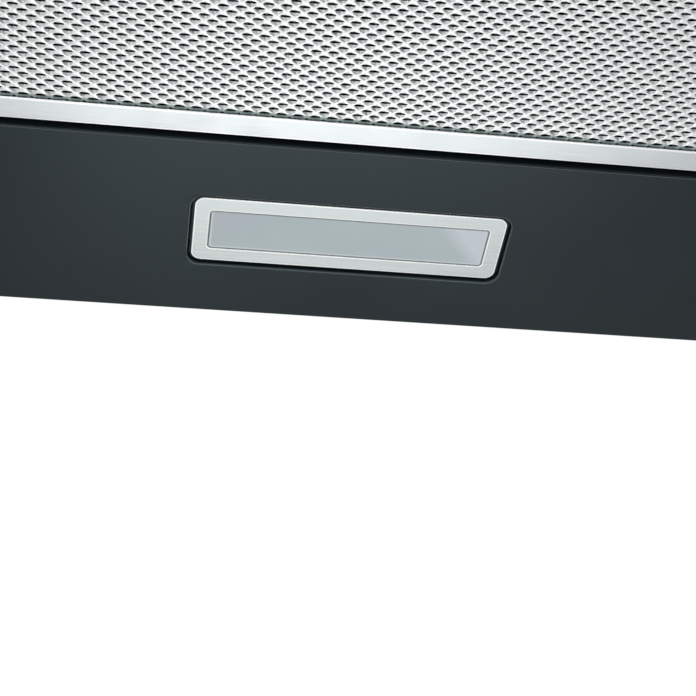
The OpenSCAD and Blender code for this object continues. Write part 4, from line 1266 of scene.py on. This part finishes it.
@dataclass
class Filter:
    """A grease filter: a folded aluminium frame round a pressed net, with hinge pins and a finger catch."""

    side: Side
    middle: Vector
    size: tuple[float, float, float] = (400 * MM, 320 * MM, 10 * MM)
    face: float = 12 * MM
    metal: float = 0.8 * MM
    hem: float = 1.7 * MM
    hem_fold: float = 0.45 * MM
    fold: float = 0.4 * MM
    corner: float = 2.0 * MM
    net_z: float = 1.2 * MM
    back_net_z: float = 8.4 * MM
    cells: tuple[int, int] = (48, 52)
    phase: tuple[float, float] = (0.0, -0.8 * MM)
    cup: tuple[float, float] = (31 * MM, -117.4 * MM)
    pin: tuple[float, float, float] = (156 * MM, 3.7 * MM, 2.0 * MM)
    pin_ends: tuple[float, float] = (193 * MM, 205.5 * MM)
    pin_nose: float = 0.5 * MM
    tongue: tuple[float, float, float] = (8.4 * MM, 2.6 * MM, 5.4 * MM)

    @property
    def body(self) -> str:
        """The body that the filter swings with."""
        return f"filter_{self.side.word}"

    def build(self) -> None:
        """Builds the frame, the nets and the pins, and dresses the rest."""
        self.frame()
        self.pins()
        self.net(f"front_net_{self.side.word}", self.net_z, True, f"filter_net_{self.side.word}")
        self.net(f"back_net_{self.side.word}", self.back_net_z, False, f"filter_back_net_{self.side.word}")
        soften(f"filter_core_{self.side.word}", CORE, 0.0)
        soften(f"catch_cup_{self.side.word}", CATCH, 0.35, 3)
        soften(f"filter_catch_{self.side.word}", CATCH, 0.4, 3)

    def frame(self) -> bpy.types.Object:
        """Folds the frame from a block: hollowed, opened on both faces and hemmed along its inner edge."""
        w, d, h = self.size
        low = self.middle - Vector((w / 2, d / 2, 0.0))
        high = self.middle + Vector((w / 2, d / 2, h))
        piece = slab(f"filter_rim_{self.side.word}", low, high)
        edit(piece)
        choose(piece, Part.EDGE, upright)
        bpy.ops.mesh.bevel(offset=self.corner, segments=4, affect="EDGES")
        inner_x, inner_y = w / 2 - self.face, d / 2 - self.face
        margin = 0.1 * MM
        score(0, [self.middle.x - inner_x, self.middle.x + inner_x])
        score(1, [self.middle.y - inner_y, self.middle.y + inner_y])
        choose(
            piece, Part.FACE,
            lambda face: abs(face.normal.z) > 0.9
            and abs(face.calc_center_median().x - self.middle.x) < inner_x
            and abs(face.calc_center_median().y - self.middle.y) < inner_y,
        )
        bpy.ops.mesh.delete(type="FACE")
        bpy.ops.mesh.select_all(action="SELECT")
        bpy.ops.mesh.dissolve_limited(angle_limit=FLAT)
        choose(
            piece, Part.EDGE,
            lambda edge: not edge.is_boundary and not upright(edge) and edge.calc_face_angle(0.0) > SHARP,
        )
        bpy.ops.mesh.bevel(offset=self.fold, segments=3, affect="EDGES")
        for face_z, turn in ((self.middle.z, 1.0), (self.middle.z + h, -1.0)):
            choose(piece, Part.EDGE, lambda edge: edge.is_boundary and lies(edge, 2, face_z))
            bpy.ops.mesh.extrude_region_move(
                TRANSFORM_OT_translate={"value": (0.0, 0.0, turn * (self.hem - self.metal))},
            )
        choose(
            piece, Part.EDGE,
            lambda edge: not edge.is_boundary
            and (lies(edge, 2, self.middle.z) or lies(edge, 2, self.middle.z + h))
            and all(abs(end.co.x - self.middle.x) < inner_x + margin for end in edge.verts)
            and all(abs(end.co.y - self.middle.y) < inner_y + margin for end in edge.verts),
        )
        bpy.ops.mesh.bevel(offset=self.hem_fold, segments=3, affect="EDGES")
        bpy.ops.mesh.select_all(action="SELECT")
        bpy.ops.mesh.remove_doubles(threshold=TOUCH)
        bpy.ops.mesh.normals_make_consistent(inside=False)
        leave()
        apply(piece, "SOLIDIFY", thickness=self.metal, offset=-1.0, use_even_offset=True)
        half_w, slot_low, slot_high = self.tongue
        front = self.middle.y - d / 2
        tool = slab(
            "slot tool",
            Vector((self.middle.x - half_w, front - 2 * self.metal, self.middle.z + slot_low)),
            Vector((self.middle.x + half_w, front + 2 * self.metal, self.middle.z + slot_high)),
        )
        cut(piece, tool)
        smooth(piece, 35.0, flat=True)
        centre = (self.middle.x, self.middle.y, 0.0)
        name = f"rolled aluminium frame {self.side.word}"
        wear(piece, RolledAluminium(name, mitre=centre, half=(w / 2, d / 2)))
        return hand_over(piece, self.body, "filter_aluminium", f"filter_frame_{self.side.word}")

    def pins(self) -> bpy.types.Object:
        """Turns the two hinge pins, with a rounded nose at each outer end."""
        offset_y, offset_z, radius = self.pin
        start, stop = self.pin_ends
        made = []
        for way in (-1, 1):
            middle = self.middle + Vector((way * (start + stop) / 2, offset_y, offset_z))
            deselect()
            bpy.ops.mesh.primitive_cylinder_add(
                vertices=24, radius=radius, depth=stop - start,
                location=middle, rotation=(0.0, math.pi / 2, 0.0),
            )
            bpy.ops.object.transform_apply(location=True, rotation=True, scale=True)
            pin = bpy.context.active_object
            edit(pin)
            choose(pin, Part.EDGE, lambda edge: edge.calc_face_angle(0.0) > SHARP)
            bpy.ops.mesh.bevel(offset=self.pin_nose, segments=3, affect="EDGES")
            leave()
            made.append(pin)
        deselect()
        for pin in made:
            pin.select_set(True)
        bpy.context.view_layer.objects.active = made[0]
        bpy.ops.object.join()
        piece = made[0]
        piece.name = f"hinge_pins_{self.side.word}"
        smooth(piece, 35.0)
        wear(piece, SCREW)
        return hand_over(piece, self.body, "steel_screws")

    def foil(self) -> tuple[Finish, Finish, Finish]:
        """Gives the finishes of the strands and of the hollows' flanks, the left flank in painted shade and
        the right one in painted highlight, each with painted shade where the frame holds the net.
        """
        middle = (self.middle.x, self.middle.y, 0.0)
        half = (self.size[0] / 2 - self.face, self.size[1] / 2 - self.face)
        word = self.side.word
        return (
            PressedAluminium(f"pressed aluminium net {word}", middle=middle, half=half),
            PressedAluminium(
                f"aluminium left flank painted shade {word}", "#8a9293", "#e1e6e7", (0.36, 0.5), 0.7, middle, half,
            ),
            PressedAluminium(
                f"aluminium right flank painted highlight {word}", "#cfd5d6", "#fdfefe", (0.36, 0.5), 0.7, middle, half,
            ),
        )

    def net(self, name: str, height: float, pressed: bool, node: str) -> bpy.types.Object:
        """Copies the cell over the whole frame and trims the sheet round the catch.

        Args:
            name: The piece's name.
            height: The net's height above the frame's lower face.
            pressed: Whether the net is the pressed one.
            node: The sub-part that it replaces.

        Returns:
            The net.
        """
        cell = NetCell()
        piece = cell.build(pressed)
        piece.name = name
        columns, rows = self.cells
        edit(piece)
        bpy.ops.mesh.select_all(action="SELECT")
        bpy.ops.mesh.duplicate_move(
            TRANSFORM_OT_translate={"value": (cell.long_way / 2, cell.short_way / 2, 0.0)},
        )
        leave()
        for count, offset in (
            (columns, (cell.long_way, 0.0, 0.0)),
            (rows, (0.0, cell.short_way, 0.0)),
        ):
            apply(
                piece, "ARRAY", count=count, use_relative_offset=False,
                use_constant_offset=True, constant_offset_displace=offset,
            )
        apply(piece, "WELD", merge_threshold=0.02 * MM)
        start = Vector((
            -(columns - 0.5) * cell.long_way / 2, -(rows - 0.5) * cell.short_way / 2, 0.0,
        ))
        piece.location = self.middle + start + Vector((*self.phase, height))
        take(piece)
        bpy.ops.object.transform_apply(location=True, rotation=True, scale=True)
        half_x, rear_y = self.cup
        edit(piece)
        choose(
            piece, Part.FACE,
            lambda face: abs(face.calc_center_median().x - self.middle.x) < half_x
            and face.calc_center_median().y - self.middle.y < rear_y,
        )
        bpy.ops.mesh.delete(type="FACE")
        leave()
        smooth(piece, 60.0)
        wear(piece, *self.foil())
        return hand_over(piece, self.body, "mesh_aluminium", node)


# The lamps


@dataclass
class Lamp:
    """A flat lamp: a brushed bezel round an etched lens, over a white tray with its row of light sources."""

    side: Side

    def build(self) -> None:
        """Dresses the lamp's sub-parts."""
        word = self.side.word
        low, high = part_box(f"lamp_lens_{word}")
        middle = tuple((low + high) / 2)
        bezel = BezelSteel(f"brushed bezel steel {word}", middle=middle)
        # the bezel's rounded edges take the painted highlight finish
        soften(f"lamp_bezel_{word}", bezel, 0.4, 3, 40.0, STEEL_EDGE_HIGHLIGHT)
        lens = EtchedAcrylic(f"etched acrylic lens {word}", middle=middle)
        soften(f"lamp_lens_{word}", lens, 0.35, 3, 40.0, EDGE)
        soften(f"lamp_reflector_{word}", WHITE, 0.2, 2)
        soften(f"lamp_board_{word}", BOARD, 0.15, 2)


# The controls


@dataclass
class Controls:
    """The row of push buttons in the front, with a generic mark on each."""

    marks: tuple[str, ...] = ("0", "1", "2", "3", "")
    height: float = 6.2 * MM
    stand: float = 0.12 * MM
    dish: float = 0.7 * MM
    ring: tuple[float, float] = (2.3 * MM, 0.32 * MM)

    def build(self) -> None:
        """Dresses the fascia and the buttons, and prints the marks."""
        soften("control_fascia", STAINLESS, 0.3, 3, 40.0)
        soften("button_housing", BLACK, 0.3)
        soften("switch_board", BOARD, 0.15)
        for number, mark in enumerate(self.marks, 1):
            soften(f"button_{number}", BUTTON, 0.4, 3, 40.0)
            self.print_mark(number, mark)

    def face(self, number: int) -> Vector:
        """Gives the middle of the dished face of a button."""
        low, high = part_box(f"button_{number}")
        return Vector(((low.x + high.x) / 2, low.y + self.dish, (low.z + high.z) / 2))

    def print_mark(self, number: int, mark: str) -> bpy.types.Object:
        """Prints the mark of one button: its number, or a ring for the lamps.

        Args:
            number: The button's number.
            mark: The digit, or nothing for the ring.

        Returns:
            The printed mark.
        """
        place = self.face(number)
        deselect()
        if mark:
            bpy.ops.object.text_add(location=place, rotation=(math.pi / 2, 0.0, 0.0))
            piece = bpy.context.active_object
            piece.data.body = mark
            piece.data.size = self.height
            piece.data.align_x = "CENTER"
            piece.data.align_y = "CENTER"
            piece.data.extrude = self.stand
            bpy.ops.object.convert(target="MESH")
            piece = bpy.context.active_object
        else:
            radius, line = self.ring
            bpy.ops.mesh.primitive_torus_add(
                major_radius=radius, minor_radius=line, major_segments=40, minor_segments=8,
                location=place, rotation=(math.pi / 2, 0.0, 0.0),
            )
            piece = bpy.context.active_object
            edit(piece)
            bpy.ops.mesh.select_all(action="SELECT")
            bpy.ops.transform.resize(value=(1.0, 0.4, 1.0))
            leave()
        piece.name = f"button_mark_{number}"
        take(piece)
        bpy.ops.object.transform_apply(location=True, rotation=True, scale=True)
        wear(piece, INK)
        return hand_over(piece, f"button_{number}", "black_plastic")


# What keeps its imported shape


@dataclass
class Sheetwork:
    """The painted and the zinc-coated sheet parts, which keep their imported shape."""

    painted: tuple[str, ...] = ("canopy_shell", "lower_chimney", "upper_chimney")
    zinc: tuple[str, ...] = ("back_panel", "blower_deck", "wall_bracket", "motor_bracket", "capacitor_clip")
    screws: tuple[str, ...] = (
        "panel_screws", "housing_screws", "chimney_screws", "motor_screws", "flap_pins", "inlet_guard",
    )

    def build(self) -> None:
        """Dresses the sheet parts and their screws."""
        for node in self.painted:
            soften(node, PAINT, 0.4, 3)
        for node in self.zinc:
            soften(node, ZINC, 0.25)
        for node in self.screws:
            soften(node, SCREW, 0.25)


@dataclass
class Blower:
    """The blower: motor, impeller, scroll housing and outlet."""

    black: tuple[str, ...] = ("blower_housing_left", "blower_housing_right", "impeller", "outlet_collar")
    white: tuple[str, ...] = ("flap_front", "flap_rear", "control_box", "control_box_lid", "chimney_guides")

    def build(self) -> None:
        """Dresses the blower and what is mounted near it."""
        for node in self.black:
            soften(node, BLACK, 0.0 if node == "impeller" else 0.25)
        for node in self.white:
            soften(node, WHITE, 0.25)
        soften("motor_can", MOTOR, 0.4)
        soften("motor_bearing", SCREW, 0.2)
        soften("motor_shaft", SCREW, 0.3)
        soften("capacitor", CAN, 0.4, 3)
        soften("rubber_mounts", RUBBER, 0.4)
        soften("cable_grommet", RUBBER, 0.5, 3)


# The studio


@dataclass
class Studio:
    """The camera below the hood, the pale floor, the lamps and the white surroundings."""

    eye: tuple[float, float, float] = (0.11305, -0.5821, -0.5840)
    right: tuple[float, float, float] = (0.989580, -0.136206, -0.046597)
    up: tuple[float, float, float] = (-0.060635, -0.687892, 0.723274)
    lens: float = 80.71
    floor_z: float = -1.5
    floor_size: float = 60.0
    ambient: float = 0.66
    pale: tuple[str, str] = ("#d9dada", "#dedfdf")

    def build(self) -> None:
        """Sets up the camera, the surroundings, the floor and the lamps."""
        bpy.context.scene.view_settings.view_transform = "Standard"
        self.camera()
        self.surroundings()
        self.floor()
        middle = (0.0, -0.25, 0.2)
        self.lamp("key", (-2.2, -2.8, 2.4), middle, (4.4, 4.4), 52.0)
        self.lamp("fill", (2.8, -1.8, 0.9), middle, (2.6, 2.6), 16.0)
        self.lamp("sweep", (0.33, 0.62, -1.3), (0.2, -0.15, 0.0), (0.78, 0.6), 2.3)
        self.lamp("front", (-0.2, -2.35, -1.0), middle, (1.8, 0.9), 9.0)

    def camera(self) -> None:
        """Puts the camera where the photograph was taken from."""
        data = bpy.data.cameras.new("camera")
        data.lens = self.lens
        data.sensor_width = 36.0
        data.sensor_fit = "HORIZONTAL"
        data.clip_start = 0.02
        data.clip_end = 60.0
        camera = bpy.data.objects.new("camera", data)
        bpy.context.scene.collection.objects.link(camera)
        right, up = Vector(self.right), Vector(self.up)
        turn = Matrix((right, up, right.cross(up))).transposed()
        camera.matrix_world = Matrix.Translation(Vector(self.eye)) @ turn.to_4x4()
        bpy.context.scene.camera = camera

    @staticmethod
    def seen(tree: bpy.types.NodeTree) -> bpy.types.NodeSocket:
        """Gives 1 to rays from the eye, off gloss and through glass, and 0 to those that light the object."""
        path = add(tree, "ShaderNodeLightPath")
        first = add(
            tree, "ShaderNodeMath",
            links={0: path.outputs["Is Camera Ray"], 1: path.outputs["Is Glossy Ray"]}, operation="MAXIMUM",
        )
        both = add(
            tree, "ShaderNodeMath",
            links={0: first.outputs["Value"], 1: path.outputs["Is Transmission Ray"]}, operation="MAXIMUM",
        )
        return both.outputs["Value"]

    def surroundings(self) -> None:
        """Makes the world white to the eye, in metal and through glass, and plain on the object."""
        world = bpy.data.worlds.new("white studio")
        bpy.context.scene.world = world
        world.use_nodes = True
        tree = world.node_tree
        tree.nodes.clear()
        plain = add(tree, "ShaderNodeBackground", {"Color": linear("#ffffff"), "Strength": self.ambient})
        white = add(tree, "ShaderNodeBackground", {"Color": linear("#ffffff"), "Strength": 1.0})
        mixed = add(
            tree, "ShaderNodeMixShader",
            links={0: self.seen(tree), 1: plain.outputs["Background"], 2: white.outputs["Background"]},
        )
        add(tree, "ShaderNodeOutputWorld", links={"Surface": mixed.outputs["Shader"]})

    def floor(self) -> None:
        """Lays the pale floor, which fades into the white far off and is clear from below."""
        deselect()
        bpy.ops.mesh.primitive_plane_add(size=self.floor_size, location=(0.0, 0.0, self.floor_z))
        floor = bpy.context.active_object
        floor.name = "floor"
        made = bpy.data.materials.new("pale floor")
        made.use_nodes = True
        tree = made.node_tree
        tree.nodes.clear()
        place = place_in(tree)
        colour = tint(tree, grain(tree, place, 900.0), [(0.3, self.pale[0]), (0.7, self.pale[1])])
        shader = add(tree, "ShaderNodeBsdfPrincipled", {"Roughness": 0.9}, {"Base Color": colour})
        away = add(tree, "ShaderNodeVectorMath", links={0: place}, operation="LENGTH")
        fade = spread(tree, away.outputs["Value"], 0.06, 1.0, 2.4, 8.0)
        share = add(tree, "ShaderNodeMath", links={0: self.seen(tree), 1: fade}, operation="MULTIPLY")
        white = add(tree, "ShaderNodeEmission", {"Color": linear("#ffffff"), "Strength": 1.0})
        bright = add(
            tree, "ShaderNodeMixShader",
            links={0: share.outputs["Value"], 1: shader.outputs["BSDF"], 2: white.outputs["Emission"]},
        )
        clear = add(tree, "ShaderNodeBsdfTransparent")
        behind = add(tree, "ShaderNodeNewGeometry")
        mixed = add(
            tree, "ShaderNodeMixShader",
            links={0: behind.outputs["Backfacing"], 1: bright.outputs["Shader"], 2: clear.outputs["BSDF"]},
        )
        add(tree, "ShaderNodeOutputMaterial", links={"Surface": mixed.outputs["Shader"]})
        floor.data.materials.append(made)

    def lamp(
        self,
        name: str,
        place: tuple[float, float, float],
        goal: tuple[float, float, float],
        size: tuple[float, float],
        watts: float,
    ) -> None:
        """Hangs a soft lamp that faces a point of the hood and isn't seen itself.

        Args:
            name: The lamp's name.
            place: Where it hangs.
            goal: The point that it faces.
            size: The sides of its face.
            watts: Its power.
        """
        data = bpy.data.lights.new(name, "AREA")
        data.shape = "RECTANGLE"
        data.size, data.size_y = size
        data.energy = watts
        light = bpy.data.objects.new(name, data)
        bpy.context.scene.collection.objects.link(light)
        light.location = place
        light.rotation_euler = (Vector(goal) - Vector(place)).to_track_quat("-Z", "Y").to_euler()
        light.visible_camera = False


def main() -> None:
    """Builds the studio and dresses each sub-assembly in turn."""
    logging.basicConfig(level=logging.INFO, format="%(name)s: %(message)s")
    Studio().build()
    tray = BottomFrame()
    tray.build()
    for side in Side:
        low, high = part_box(f"filter_frame_{side.word}")
        middle = Vector((side.value * tray.bay_x, tray.bay_y, FILTER_Z))
        log.info("filter frame from %s to %s", tuple(low), tuple(high))
        Filter(side, middle).build()
        Lamp(side).build()
    Controls().build()
    Sheetwork().build()
    Blower().build()


if __name__ == "__main__":
    main()
